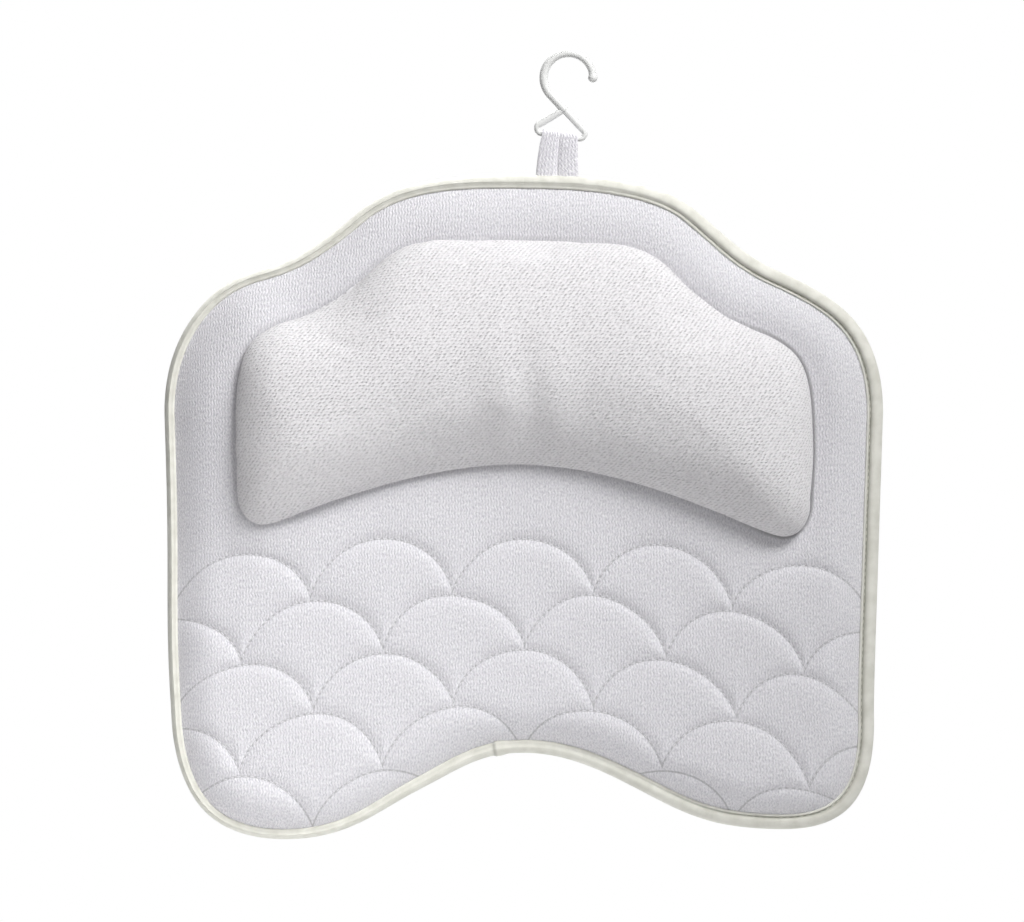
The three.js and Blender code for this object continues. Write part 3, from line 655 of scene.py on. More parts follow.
def quilted_front():
    """The padded front: a flat rim in the binding, then the face to a spine that the headrest
    hides, closed by a flat underside."""
    edge = pad_outline(PAD, PAD_EDGE_COUNT)
    start = binding_width(edge[:, 0]) - FRONT_LAP
    gaps = ROLL_REACH * np.linspace(0, 1, ROLL_RINGS) ** 1.35
    insets = np.concatenate([np.full((2, len(edge)), PANEL_INSET), start + gaps[:, None]])
    plane = pad_rings(edge, insets, FRONT_RINGS)
    edge_gap = np.full(plane.shape[:2], ROLL_REACH)
    edge_gap[:2] = 0
    edge_gap[2:len(insets)] = gaps[:, None]
    seam_gap = distance_to(plane, headrest_edge[::2])
    depth = front_depth(plane, edge_gap, seam_gap)
    depth[0] = FRONT_SEAT
    points = place(plane, depth)
    # Strength of the painted shade line along the headrest's seam, stronger on the right, kept in the seam
    # UV beside the gap
    line = between(SEAM_SHADE, SEAM_RIGHT_SHADE, beside_headrest(plane[..., 0])[1])
    seam_uv = wrapped(np.stack([seam_gap, line], axis=-1))
    uvs = {"cloth": cloth_uv(points, plane), "sewn": sewn_uv(plane), "seam": seam_uv}
    return grid_piece("quilted_front", hang(points), uvs)


def back_cloth():
    """The flat back: its face dips at the quilting's stitch lines, and its rim is in the
    binding."""
    edge = pad_outline(PAD, BACK_EDGE_COUNT)
    gaps = BACK_ROLL_REACH * np.linspace(0, 1, BACK_ROLL_RINGS)
    insets = np.concatenate([np.full(2, PANEL_INSET), BINDING_BACK_WIDTH + gaps])
    plane = pad_rings(edge, np.tile(insets[:, None], (1, len(edge))), BACK_RINGS)
    distance, along, _ = quilt_field(plane)
    dimple = BACK_DIMPLE * np.exp(-distance / BACK_DIMPLE_REACH)
    pucker = 0.15 * MM * np.sin(along / (1.3 * MM)) * np.exp(-distance / (4 * MM))
    fade = np.zeros(len(plane))
    fade[2:] = smoothstep(np.arange(len(plane) - 2), 0, 6)
    swell = BACK_SWELL * (1 + waves(plane, SWELLS))
    depth = BACK_FACE + (dimple + pucker + swell) * fade[:, None]
    depth[0] = FRONT_SEAT - FIT
    points = place(plane, depth)
    uvs = {"cloth": cloth_uv(points, plane), "sewn": sewn_uv(plane)}
    return grid_piece("back_cloth", hang(points), uvs)


def round_the_edge(shares):
    """Shares along a closed edge, each the mean of its neighbours on both sides."""
    steps = range(-HEADREST_EASE_COUNT, HEADREST_EASE_COUNT + 1)
    return np.mean([np.roll(shares, step) for step in steps], axis=0)


def headrest_rings():
    """Rings of the cushion: a tucked seam, a side that swells out, an edge rounded as a quarter
    ellipse, wide at the sides and low along the foot, and a dome that rises as a parabola to a
    bowed ridge, or slowly at first on the lower left, where the foot lies flat."""
    edge = headrest_edge
    ridge_x = edge[:, 0] * RIDGE_LENGTH / HEADREST["width"]
    ridge_z = HEADREST["top"] - RIDGE_DROP - ridge_x ** 2 / (2 * RIDGE_BOW_RADIUS) - ridge_x * TILT
    ridge = np.stack([ridge_x, ridge_z], axis=1)
    lower = round_the_edge(smoothstep(inward(edge)[:, 1], 0.2, 0.9))
    beside = round_the_edge(smoothstep(np.abs(inward(edge)[:, 0]), 0.5, 0.95))
    seam = HEADREST_SEAT - seam_dip(edge[:, 0])[0] - HEADREST_SEAM_DEPTH
    side_rise = between(HEADREST_SIDE_RISE, HEADREST_LOWER_SIDE_RISE, lower)
    side_rise += HEADREST_LEFT_LIFT * beside_headrest(edge[:, 0])[0]
    side_share = np.linspace(0, 1, 9)[:, None]
    tuck = HEADREST_SEAM_TUCK * (1 - np.sin(side_share * math.pi / 2))
    sides = edge + inward(edge) * tuck[..., None]
    side_depth = between(seam, HEADREST_SEAT + side_rise, side_share)
    share = np.linspace(0, 1, 60)[1:-1, None] ** 1.5
    crowns = between(edge, ridge, share[..., None])
    roll_reach = np.where(edge[:, 0] < 0, HEADREST_LEFT_ROLL_REACH, HEADREST_ROLL_REACH)
    reach = between(HEADREST_EDGE_REACH, roll_reach, beside)
    from_edge = np.linalg.norm(crowns - edge, axis=2) / reach
    rounding = np.sqrt(1 - (1 - np.clip(from_edge, 0, 1)) ** 2)
    edge_rise = between(HEADREST_EDGE_RISE, HEADREST_LOWER_EDGE_RISE, lower)
    edge_rise += (HEADREST_ROLL_RISE - HEADREST_EDGE_RISE) * beside
    flat_foot = HEADREST_FLAT_FOOT * lower * smoothstep(-edge[:, 0], *HEADREST_FLAT_FOOT_X)
    dome = between(1 - (1 - share) ** 2, smoothstep(share, 0, 1), flat_foot)
    top = HEADREST_SEAT + HEADREST_SIDE_RISE + HEADREST_CROWN_RISE
    crown_depth = side_depth[-1] + edge_rise * rounding + (top - side_depth[-1] - edge_rise) * dome
    plane = np.concatenate([sides, crowns])
    return plane, np.concatenate([side_depth, crown_depth]) - lean(plane)


def inflate(piece, held, most):
    """Swells a piece as cloth under pressure while the held points stay, and no point moves
    further than most."""
    rest = np.empty(len(piece.data.vertices) * 3, np.float32)
    piece.data.vertices.foreach_get("co", rest)
    rest = rest.reshape(-1, 3)
    group = piece.vertex_groups.new(name="sewn")
    group.add(held.tolist(), 1, "REPLACE")
    cloth = piece.modifiers.new("inflate", "CLOTH")
    for name, value in CLOTH_SETTINGS.items():
        setattr(cloth.settings, name, value)
    cloth.settings.vertex_group_mass = group.name
    cloth.settings.effector_weights.gravity = 0
    cloth.collision_settings.use_collision = False
    scene = bpy.context.scene
    for step in range(1, CLOTH_FRAMES + 1):
        scene.frame_set(step)
    swollen = piece.evaluated_get(bpy.context.evaluated_depsgraph_get()).to_mesh()
    moved = np.empty(len(rest) * 3, np.float32)
    swollen.vertices.foreach_get("co", moved)
    move = moved.reshape(-1, 3) - rest
    length = np.linalg.norm(move, axis=1, keepdims=True)
    move *= most * np.tanh(length / most) / np.maximum(length, 1e-9)
    piece.modifiers.remove(cloth)
    piece.vertex_groups.remove(group)
    scene.frame_set(1)
    piece.data.vertices.foreach_set("co", (rest + move).ravel())
    piece.data.update()


def headrest_folds(plane):
    """Soft upright folds in the middle of the headrest, where it bends: a slanted wave that
    fades as a bell."""
    x, z = plane[..., 0], plane[..., 1]
    spread = np.exp(-(((plane - FOLD_CENTRE) / FOLD_SPREAD) ** 2).sum(axis=-1))
    turn = 2 * math.pi * (x + 0.1 * z) / FOLD_PITCH + 0.7 * np.sin(60 * x)
    return FOLD_HEIGHT * spread * np.sin(turn)


def headrest_cushion():
    """The headrest's rings swollen as cloth, with its folds pressed in."""
    plane, depth = headrest_rings()
    points = place(plane, depth)
    piece = grid_piece("headrest_cushion", points, {"cloth": cloth_uv(points, plane)})
    inflate(piece, np.arange(2 * HEADREST_EDGE_COUNT), HEADREST_SWELL)
    swollen = np.empty(points.size, np.float32)
    piece.data.vertices.foreach_get("co", swollen)
    swollen = swollen.reshape(-1, 3)
    swollen[:, 1] += headrest_folds(swollen[:, ::2])
    piece.data.vertices.foreach_set("co", hang(swollen).astype(np.float32).ravel())
    smooth = piece.modifiers.new("smooth", "SUBSURF")
    smooth.levels = smooth.render_levels = 1
    return piece


# Round the tape: share of the front leaf's width, a shift square to the edge, a depth, and how
# much shallower the groove is on the left
BINDING_PROFILE = np.array([
    (0, 10.0, 13.9, 0), (0, 9.2, 13.5, 0), (0, 8.5, 13.5, 0), (0, 7.9, 13.85, 0), (0, 7.3, 13.45, 0),
    (0, 5.2, 13.1, 0), (0, 2.6, 13.7, 0), (0, 0.75, 15.5, 0), (0, 0.0, 18.2, 0), (0, 0.5, 20.9, 0),
    (0.25, 0.3, 22.9, 0), (0.55, -0.5, 23.7, 0), (1, -3.5, 23.5, 0), (1, -2.6, 22.6, 0.6),
    (1, -2.0, 21.7, 1.3), (1, -1.5, 22.5, 0.4), (1, -0.9, 23.0, -0.1), (1, -0.2, 22.6, -0.1),
    (1, 0.05, 21.9, 0), (1, -0.6, 21.6, 0),
    (0.4, 1.5, 21.5, 0), (0, 2.9, 20.5, 0), (0, 2.9, 16.0, 0), (0, 4.5, 14.9, 0), (0, 9.3, 14.7, 0),
]) * (1, MM, MM, MM)


def right_share(x):
    """0 on the left of the pad, rising to 1 on its right."""
    return smoothstep(x, 40 * MM, 170 * MM)


def tape_lap(outline):
    """Rise of the tape where its end lies over its start: sharp at the end, then easing off."""
    along = outline[:, 0] - TAPE_END_X
    lap = smoothstep(along, -0.5 * MM, 0.1 * MM) * (1 - smoothstep(along, 3 * MM, TAPE_LAP))
    return np.where(outline[:, 1] < 0, lap, 0) * (np.abs(along) < 2 * TAPE_LAP)


def bound_edge():
    """The tape's profile carried round the pad's edge. Its UV runs along it and across from the
    groove, and a second one holds the right side's share, which sets how strong the tape's painted shade
    and highlight are, and the painted shade line at the tape's end."""
    edge = pad_outline(PAD, PAD_EDGE_COUNT)
    profile = smooth_closed(BINDING_PROFILE, 46)
    width = binding_width(edge[:, 0])
    shift = profile[:, 0] * width[:, None] + profile[:, 1]
    right = right_share(edge[:, 0])[:, None]
    depth = profile[:, 2] + profile[:, 3] * (1 - right)
    grown = 1 + 0.2 * tape_lap(edge)[:, None]
    middle = width[:, None] / 2
    shift = between(middle, shift, grown)
    depth = between(BINDING_MIDDLE, depth, grown)
    steps = np.arange(len(edge))
    ripple = TAPE_RIPPLE * np.sin(steps * 2 * math.pi / 23 + 3 * np.sin(steps / 40))
    depth += ripple[:, None] * smoothstep(depth, BINDING_MIDDLE, RIM_FACE)
    plane = edge[:, None] + inward(edge)[:, None] * shift[..., None]
    points = place(plane, depth)
    length = np.arange(len(edge) + 1) * np.linalg.norm(edge[1] - edge[0])
    across = travelled(wrapped(points[0], axis=0))
    from_groove = np.hypot(profile[:, 1] + BINDING_GROOVE, profile[:, 2] - BINDING_GROOVE_DEPTH)
    across -= across[np.argmin(from_groove)]
    uv = np.stack(np.broadcast_arrays(length[:, None], across), axis=-1)
    # Painted shade: a dark line across the tape where its end lies over its start
    end = np.exp(-((edge[:, :1] - TAPE_END_X) / (0.9 * MM)) ** 2) * (edge[:, 1:] < 0)
    side_uv = wrapped(np.stack([right, end], axis=-1), axis=0)
    side_uv = np.tile(side_uv, (1, len(across), 1))
    return grid_piece("bound_edge", hang(points), {"cloth": uv, "side": side_uv}, wrap_rows=True)


def binding_stitches():
    """One row of stitches in the tape's groove on the front, and one on the back."""
    edge = pad_outline(PAD, PAD_EDGE_COUNT)
    front_inset = binding_width(edge[:, :1]) - BINDING_GROOVE
    groove_floor = BINDING_GROOVE_DEPTH - 0.1 * MM
    rows = []
    leaves = (front_inset, groove_floor, -1), (BACK_STITCH_INSET, BACK_STITCH_DEPTH, 1)
    for inset, depth, facing in leaves:
        plane = wrapped(edge + inward(edge) * inset, axis=0)
        rows.append(stitch_row(hang(place(plane, np.full(len(plane), depth))), facing))
    return stitch_piece("binding_stitches", rows)


def quilting_stitches():
    """Stitches along each quilting arc that lies on the pad clear of its roll."""
    edge = pad_outline(PAD, 400)
    rows = []
    half_turn = math.asin(QUILT_PITCH / 2 / QUILT_RADIUS) * 0.985
    turn = np.linspace(-half_turn, half_turn, 60)
    for row in range(QUILT_ROWS):
        for peak in np.arange(-3, 4) + (row % 2) / 2:
            x = peak * QUILT_PITCH + QUILT_RADIUS * np.sin(turn)
            drop = row * QUILT_ROW_PITCH + QUILT_RADIUS * (1 - np.cos(turn))
            z = QUILT_TOP - drop - x ** 2 / (2 * QUILT_BOW_RADIUS) - x * TILT
            plane = np.stack([x, z], axis=1)
            plane -= sewing_drift(plane)
            gap = -distance_to(plane, edge) - binding_width(plane[:, 0])
            clear = gap > 2 * MM
            if clear.sum() < 6:
                continue
            kept = plane[clear]
            depth = front_depth(kept, gap[clear], distance_to(kept, headrest_edge))
            rows.append(stitch_row(hang(place(kept, depth)), -1))
    return stitch_piece("quilting_stitches", rows)


# Loop and hook


def bent_strip(across, along, depth):
    """Points of the loop's strip, which leaves the seam square to it and bends to the hook's
    lean, and narrows on the way."""
    share = along / LOOP_LENGTH
    angle = between(LOOP_SLOPE, HOOK_LEAN, share)
    middle = between(LOOP_SLOPE, HOOK_LEAN, share / 2)
    width = across * (1 + (LOOP_TOP_WIDTH / LOOP_WIDTH - 1) * np.clip(share, 0, 1.15))
    x = along * np.sin(middle) + width * np.cos(angle)
    z = along * np.cos(middle) - width * np.sin(angle)
    return LOOP_SEAM + np.stack(np.broadcast_arrays(x, -depth, z), axis=-1)


def loop_strip():
    """A strip of cloth up from the seam, round the hook's bar and back down, with a fold line
    along its middle between two soft ridges."""
    eye = FRAME_ROD / 2 + FIT + LOOP_CLOTH / 2
    tilt = math.asin((eye - LOOP_CLOTH / 2) / LOOP_LENGTH)
    turn = np.linspace(-tilt, math.pi + tilt, 40)
    over = np.stack([eye * np.cos(turn), LOOP_LENGTH + eye * np.sin(turn)], axis=1)
    root = (LOOP_CLOTH * 0.55, -LOOP_ROOT)
    path = np.concatenate([[root], over, [(-root[0], root[1])]])
    path = evenly(path, 110)
    place_across = np.linspace(-1, 1, 41)
    along = path[:, 1, None]
    side = np.sign(path[:, 0, None])
    free = 1 - smoothstep(along, LOOP_LENGTH - 7 * MM, LOOP_LENGTH + 1 * MM)
    ridge = LOOP_RIDGE * np.abs(np.sin(math.pi * place_across)) ** 0.8 * (0.35 + 0.65 * free)
    crease = LOOP_CREASE * np.exp(-(place_across / 0.09) ** 2) * free
    depth = path[:, 0, None] + side * (ridge - crease)
    across = place_across * LOOP_WIDTH / 2
    points = bent_strip(across, along, depth)
    rows, columns = points.shape[:2]
    row, column = grid_corners(rows - 1, columns - 1)
    length = np.arange(rows)[:, None] * np.linalg.norm(path[1] - path[0])
    uv = np.stack(np.broadcast_arrays(across, length), axis=-1)
    quads = row * columns + column
    piece = mesh_piece("loop_strip", points.reshape(-1, 3), quads, {"cloth": uv[row, column]})
    thick = piece.modifiers.new("cloth", "SOLIDIFY")
    thick.thickness = LOOP_CLOTH
    thick.offset = 0
    return piece


def rounded(corners, reach, steps):
    """A path through corners, each turned as a parabola over a reach."""
    corners = np.asarray(corners, float)
    path = [corners[:1]]
    for before, corner, after in zip(corners[:-2], corners[1:-1], corners[2:]):
        start = corner + (before - corner) * reach / np.linalg.norm(before - corner)
        end = corner + (after - corner) * reach / np.linalg.norm(after - corner)
        t = np.linspace(0, 1, steps)[:, None]
        path.append((1 - t) ** 2 * start + 2 * t * (1 - t) * corner + t ** 2 * end)
    return np.concatenate([*path, corners[-1:]])


def hook_rod(path, across, through):
    """A rod along a path in the hook's plane: an oval of the radii across the path and through
    the plane, with a fine parting line, and round ends."""
    step = np.gradient(path, axis=0)
    step /= np.linalg.norm(step, axis=1, keepdims=True)
    cap = np.linspace(0, 1, 7)[1:, None] * math.pi / 2
    start = path[0] - step[0] * np.sin(cap[::-1]) * across[0]
    end = path[-1] + step[-1] * np.sin(cap) * across[-1]
    middle = np.concatenate([start, path, end])
    step = np.concatenate([np.tile(step[0], (6, 1)), step, np.tile(step[-1], (6, 1))])
    narrow = np.concatenate([np.cos(cap[::-1, 0]), np.ones(len(path)), np.cos(cap[:, 0])])
    narrow = np.maximum(narrow, 0.04)
    across = np.pad(across, 6, mode="edge") * narrow
    through = np.pad(through, 6, mode="edge") * narrow
    turn = full_turn(28)
    parting = 1 + 0.03 * np.exp(-(np.sin(turn) / 0.12) ** 2)
    out = np.stack([step[:, 1], -step[:, 0]], axis=1)
    plane = middle[:, None] + out[:, None] * (across[:, None] * np.cos(turn) * parting)[..., None]
    depth = through[:, None] * np.sin(turn)
    return plane, depth


def hook_place(plane, depth):
    """Points of the hook from its own plane, which leans with the strip's end."""
    bar = bent_strip(np.zeros(1), np.full(1, LOOP_LENGTH), np.zeros(1))[0]
    x = plane[..., 0] * math.cos(HOOK_LEAN) + plane[..., 1] * math.sin(HOOK_LEAN)
    z = plane[..., 1] * math.cos(HOOK_LEAN) - plane[..., 0] * math.sin(HOOK_LEAN)
    return bar + np.stack([x, -depth, z], axis=-1)


def hanging_hook():
    """The round hook with its ball tip and shank, and the frame with its bar, as rods that run
    into each other."""
    centre = FRAME_APEX_RISE + HOOK_NECK + HOOK_RADIUS
    tangent = math.acos(HOOK_RADIUS / (HOOK_RADIUS + HOOK_NECK))
    turn = np.linspace(HOOK_TIP_ANGLE, 1.5 * math.pi - tangent, 120)
    curl = (0, centre) + HOOK_RADIUS * round_points(turn)
    apex = np.array([0, FRAME_APEX_RISE])
    curl = evenly(np.concatenate([curl, [apex]]), 170)
    along = np.linspace(0, HOOK_ROD_LENGTH, len(curl))
    curl_radius = HOOK_ROD / 2 * (1 - HOOK_TAPER * np.exp(-(along / HOOK_TAPER_REACH) ** 2))
    curl_radius = between(curl_radius, HOOK_TIP_BALL / 2, np.exp(-(along / HOOK_BALL_REACH) ** 2))
    bar_end = np.array([LOOP_TOP_WIDTH / 2 + FRAME_BAR_EASE, 0])
    corner = bar_end + (FRAME_FLARE, FRAME_CORNER_RISE)
    flip = np.array([-1, 1])
    corners = [apex, corner, bar_end, bar_end * flip, corner * flip, apex]
    loop = evenly(rounded(corners, FRAME_CORNER_ROUND, 12), 200)
    arm = smoothstep(loop[:, 1], 3 * MM, 7 * MM)
    left = smoothstep(-loop[:, 0], 3 * MM, 9 * MM)
    frame_radius = FRAME_ROD / 2 * (0.95 + arm * (0.28 + 0.1 * left))
    rods = [
        hook_rod(curl, curl_radius, curl_radius),
        hook_rod(loop, frame_radius, np.full(len(loop), FRAME_ROD / 2)),
    ]
    made = [grid_piece("hook_rod", hook_place(plane, depth)) for plane, depth in rods]
    return join("hanging_hook", made)


def join(name, pieces):
    """One object from several."""
    vertices, quads, count = [], [], 0
    for piece in pieces:
        mesh = piece.data
        points = np.empty(len(mesh.vertices) * 3, np.float32)
        mesh.vertices.foreach_get("co", points)
        corners = np.empty(len(mesh.loops), np.int32)
        mesh.loops.foreach_get("vertex_index", corners)
        vertices.append(points.reshape(-1, 3))
        quads.append(corners.reshape(-1, 4) + count)
        count += len(mesh.vertices)
        bpy.data.objects.remove(piece)
        bpy.data.meshes.remove(mesh)
    return mesh_piece(name, np.concatenate(vertices), np.concatenate(quads))


# Suction cups and pockets


def turned(name, centre, radius, depth, segments=84):
    """A profile of radii and depths, from axis to axis, turned about Y at a centre."""
    plane = centre + radius[:, None, None] * round_points(full_turn(segments))
    return grid_piece(name, place(plane, depth[:, None]))


def cup_centre(number):
    """X and Z of a cup's axis, from its solid."""
    low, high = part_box(f"suction_cup_{number}")
    return np.array([(low[0] + high[0]) / 2, (low[2] + high[2]) / 2])


def suction_cup(number):
    """Lip, domed dish with two fine rings, shoulder, neck and head as one turned profile."""
    dish = CUP_RADIUS - CUP_LIP_WIDTH
    share = np.linspace(0.01, 1, 40)
    inner = np.stack([dish * share, CUP_DISH_DEPTH * (1 - share ** 2)], axis=1)
    for ring in CUP_RINGS:
        inner[:, 1] += CUP_RING_HEIGHT * np.exp(-((inner[:, 0] - ring) / CUP_RING_WIDTH) ** 2)
    lip = [(CUP_RADIUS - 0.2 * MM, 0), (CUP_RADIUS, 0.35 * MM), (CUP_RADIUS - 0.1 * MM, 0.9 * MM),
           (CUP_RADIUS - 0.6 * MM, CUP_LIP_THICKNESS)]
    share = np.linspace(0.95, 0.42, 30)
    outer = np.stack([dish * share, CUP_DISH_DEPTH * (1 - share ** 2) + CUP_WALL * 0.95], axis=1)
    head = CUP_HEAD_START + CUP_HEAD_THICKNESS
    top = [(CUP_SHOULDER_RADIUS - 1 * MM, CUP_NECK_START),
           (CUP_NECK_RADIUS + 0.6 * MM, CUP_NECK_START + 0.1 * MM),
           (CUP_NECK_RADIUS, CUP_NECK_START + 0.7 * MM), (CUP_NECK_RADIUS, CUP_HEAD_START - 0.4 * MM),
           (CUP_NECK_RADIUS + 0.4 * MM, CUP_HEAD_START),
           (CUP_HEAD_RADIUS - 0.5 * MM, CUP_HEAD_START + 0.1 * MM),
           (CUP_HEAD_RADIUS, CUP_HEAD_START + 0.6 * MM), (CUP_HEAD_RADIUS, head - 0.8 * MM),
           (CUP_HEAD_RADIUS - 0.8 * MM, head), (0.1 * MM, head)]
    profile = np.concatenate([inner, lip, outer, top])
    return turned(f"vinyl_cup_{number}", cup_centre(number), profile[:, 0], profile[:, 1])


def pocket_profile():
    """Radii and depths of a pocket's cloth: hole, raised face, slope and hem, out and back."""
    crown = CUP_HEAD_RADIUS + POCKET_MARGIN
    hole = CUP_NECK_RADIUS + FIT
    hem = BACK_FACE - FIT
    foot = crown + POCKET_SLOPE
    flat = hem - POCKET_CLOTH
    face = [(hole, POCKET_FACE + 0.5 * MM), (hole + 0.3 * MM, POCKET_FACE), (crown - 1 * MM, POCKET_FACE),
            (crown, POCKET_FACE + 0.2 * MM), (foot, flat - 0.2 * MM), (foot + 1 * MM, flat),
            (POCKET_RADIUS - 0.5 * MM, flat), (POCKET_RADIUS, hem - POCKET_CLOTH * 0.5),
            (POCKET_RADIUS - 0.3 * MM, hem)]
    under = [(foot - 0.5 * MM, hem), (crown - 0.5 * MM, POCKET_FACE + POCKET_CLOTH),
             (hole + 0.2 * MM, POCKET_FACE + POCKET_CLOTH)]
    return smooth_closed(np.array(face + under), 60)


def sewn_pocket(number):
    """A pocket's profile turned about the cup's axis, with its slope gathered into small folds."""
    centre = cup_centre(number)
    profile = pocket_profile()
    turn = full_turn(120)
    radius, depth = profile[:, 0, None], profile[:, 1, None]
    slope = np.exp(-((radius - POCKET_FOLD_RADIUS) / POCKET_FOLD_REACH) ** 2)
    depth = depth - POCKET_FOLD * slope * np.sin(turn * 20 + 1.5 * np.sin(turn * 3 + number))
    radius = radius * (1 + 0.006 * np.sin(turn * 2 + number) + 0.004 * np.sin(turn * 5 + 2 * number))
    plane = centre + radius[..., None] * round_points(turn)
    uv = wrapped(wrapped(plane), axis=0)
    return grid_piece(f"sewn_pocket_{number}", place(plane, depth), {"cloth": uv}, wrap_rows=True)


def pocket_stitches():
    """A ring of stitches round each pocket's hem."""
    ring = (POCKET_RADIUS - POCKET_STITCH_INSET) * round_points(np.linspace(0, 2 * math.pi, 181))
    depth = np.full(len(ring), BACK_FACE - FIT - POCKET_CLOTH)
    rows = []
    for number in range(1, CUP_COUNT + 1):
        path = place(cup_centre(number) + ring, depth)
        rows.append(stitch_row(path, 1, POCKET_STITCH_SPACING))
    return stitch_piece("pocket_stitches", rows, POCKET_STITCH_LENGTH)


# Materials


class Wire:
    """An output socket in a node tree. Arithmetic on it adds Math nodes."""

    def __init__(self, tree, socket=None):
        self.tree = tree
        self.socket = socket

    def node(self, kind, inputs=(), output=0, **settings):
        """Adds a node, sets it up, fills its inputs with values or wires, and gives an output."""
        made = self.tree.nodes.new(kind)
        for name, value in settings.items():
            setattr(made, name, value)
        for name, value in dict(inputs).items():
            if isinstance(value, Wire):
                self.tree.links.new(value.socket, made.inputs[name])
            else:
                made.inputs[name].default_value = value
        return Wire(self.tree, made.outputs[output]) if made.outputs else made

    def math(self, operation, *others):
        return self.node("ShaderNodeMath", dict(enumerate((self, *others))), operation=operation)

    def __add__(self, other):
        return self.math("ADD", other)

    def __sub__(self, other):
        return self.math("SUBTRACT", other)

    def __rsub__(self, other):
        return self.node("ShaderNodeMath", {0: other, 1: self}, operation="SUBTRACT")

    def __mul__(self, other):
        return self.math("MULTIPLY", other)

    def __truediv__(self, other):
        return self.math("DIVIDE", other)

    __radd__ = __add__
    __rmul__ = __mul__

    def split(self):
        """The three parts of a vector."""
        parts = self.node("ShaderNodeSeparateXYZ", {0: self}).socket.node.outputs
        return [Wire(self.tree, part) for part in parts]

    def noise(self, scale, detail, **others):
        """Noise at this place."""
        inputs = {"Vector": self, "Scale": scale, "Detail": detail, **others}
        return self.node("ShaderNodeTexNoise", inputs)

    def ease(self, start, end):
        """0 before start and 1 after end, with an even S between."""
        inputs = {"Value": self, "From Min": start, "From Max": end}
        return self.node("ShaderNodeMapRange", inputs, interpolation_type="SMOOTHSTEP")

    def mix(self, first, second):
        """A colour between two, by this share."""
        return self.node("ShaderNodeMix", {0: self, 6: first, 7: second}, 2, data_type="RGBA")


def new_material(name):
    """An empty material and a wire into its nodes."""
    material = bpy.data.materials.new(name)
    material.use_nodes = True
    material.node_tree.nodes.clear()
    return material, Wire(material.node_tree)


def finish_material(wire, colour, roughness, height=None, bump=0.0, **constants):
    """A Principled surface with its colour, roughness, bump in metres and constant sockets."""
    inputs = {"Base Color": colour, "Roughness": roughness}
    if height is not None:
        inputs["Normal"] = wire.node("ShaderNodeBump", {"Height": height, "Distance": bump, "Strength": 1})
    inputs.update({name.replace("_", " "): value for name, value in constants.items()})
    shader = wire.node("ShaderNodeBsdfPrincipled", inputs)
    wire.node("ShaderNodeOutputMaterial", {"Surface": shader})


def darker(colour, share):
    """A share of a colour."""
    return tuple(part * share for part in colour[:3]) + (1,)


def object_place(wire):
    """Places on a piece, in metres."""
    return wire.node("ShaderNodeTexCoord", (), "Object")


def uv_of(wire, layer="cloth"):
    """A UV map's two parts, which are metres on cloth, and the whole."""
    uv = wire.node("ShaderNodeUVMap", uv_map=layer)
    return (*uv.split()[:2], uv)


def grain_rows(wire, u, v, pitch, row, slant, size):
    """Share of hole in a knitted mesh: staggered rows of small slanted ovals, each row half a
    pitch from the next, and each oval shifted and as dark as chance makes it."""
    level = v / row
    up = level.math("FRACT") - 0.5
    place_across = u / pitch + level.math("FLOOR") * 0.5 + up * slant
    across = place_across.math("FRACT") - 0.5
    cell = wire.node("ShaderNodeCombineXYZ", {0: place_across.math("FLOOR"), 1: level.math("FLOOR")})
    chance = wire.node("ShaderNodeTexWhiteNoise", {"Vector": cell}, 0, noise_dimensions="2D")
    shift = wire.node("ShaderNodeTexWhiteNoise", {"Vector": cell}, 1, noise_dimensions="2D")
    shift_across, shift_up = shift.split()[1:]
    across = across + (shift_across - 0.5) * 0.26
    up = up + (shift_up - 0.5) * 0.22
    gap = ((across * across) / size[0] ** 2 + (up * up) / size[1] ** 2).math("SQRT")
    return (1 - gap.ease(0.35, 1.3)) * (0.45 + chance * 0.55)


def stitch_crease_shade(wire):
    """Share of painted shade along the quilting's creases, from the distance to the circle of the arc
    above.
    """
    x, drop, _ = uv_of(wire, "sewn")
    row = ((drop + CREASE_WIDTH) / QUILT_ROW_PITCH).math("FLOOR")
    across = ((x / QUILT_PITCH + row * 0.5 + 0.5).math("FRACT") - 0.5) * QUILT_PITCH
    up = QUILT_RADIUS - drop + row * QUILT_ROW_PITCH
    away = ((across * across + up * up).math("SQRT") - QUILT_RADIUS).math("ABSOLUTE")
    return (1 - away.ease(0.2 * MM, CREASE_WIDTH)) * row.math("GREATER_THAN", -0.5)


def seam_shade_line(wire):
    """Share of painted shade in the line where the panel dips under the headrest, as strong as
    the UV says."""
    gap, strength, _ = uv_of(wire, "seam")
    return (1 - gap.ease(0.7 * MM, 2.8 * MM)) * strength


def streaked_mesh(name, colour, shade, pitch, row, contrast, lines=()):
    """Fine spacer mesh: upright wales of small yarns that slant to and fro row by row, streaky,
    and with painted shade on the lines that are given as functions with their strengths."""
    material, wire = new_material(name)
    u, v, uv = uv_of(wire)
    wander = uv.noise(70, 2)
    zigzag = (v / row + wander * 2).math("PINGPONG", 1)
    slanted = wire.node("ShaderNodeCombineXYZ", {0: u + zigzag * (0.6 * pitch), 1: v * 0.42})
    yarn = slanted.noise(2.4 / pitch, 2, Roughness=0.6)
    wale = ((u / pitch + zigzag * 0.4 + wander * 1.5) * (2 * math.pi)).math("COSINE")
    tone = 0.42 + (wale * 0.07 + (yarn - 0.5) * 2) * contrast
    base = tone.math("MAXIMUM", 0).math("MINIMUM", 1).mix(colour, shade)
    for line, strength in lines:
        # Painted shade: each given line darkens the yarn towards 40% of its colour
        base = (line(wire) * strength).mix(base, darker(colour, 0.4))
    height = yarn * 1.6 - wale * 0.25
    finish_material(wire, base, 0.8 + tone * 0.1, height, 0.38 * MM, **CLOTH_FINISH)
    return material


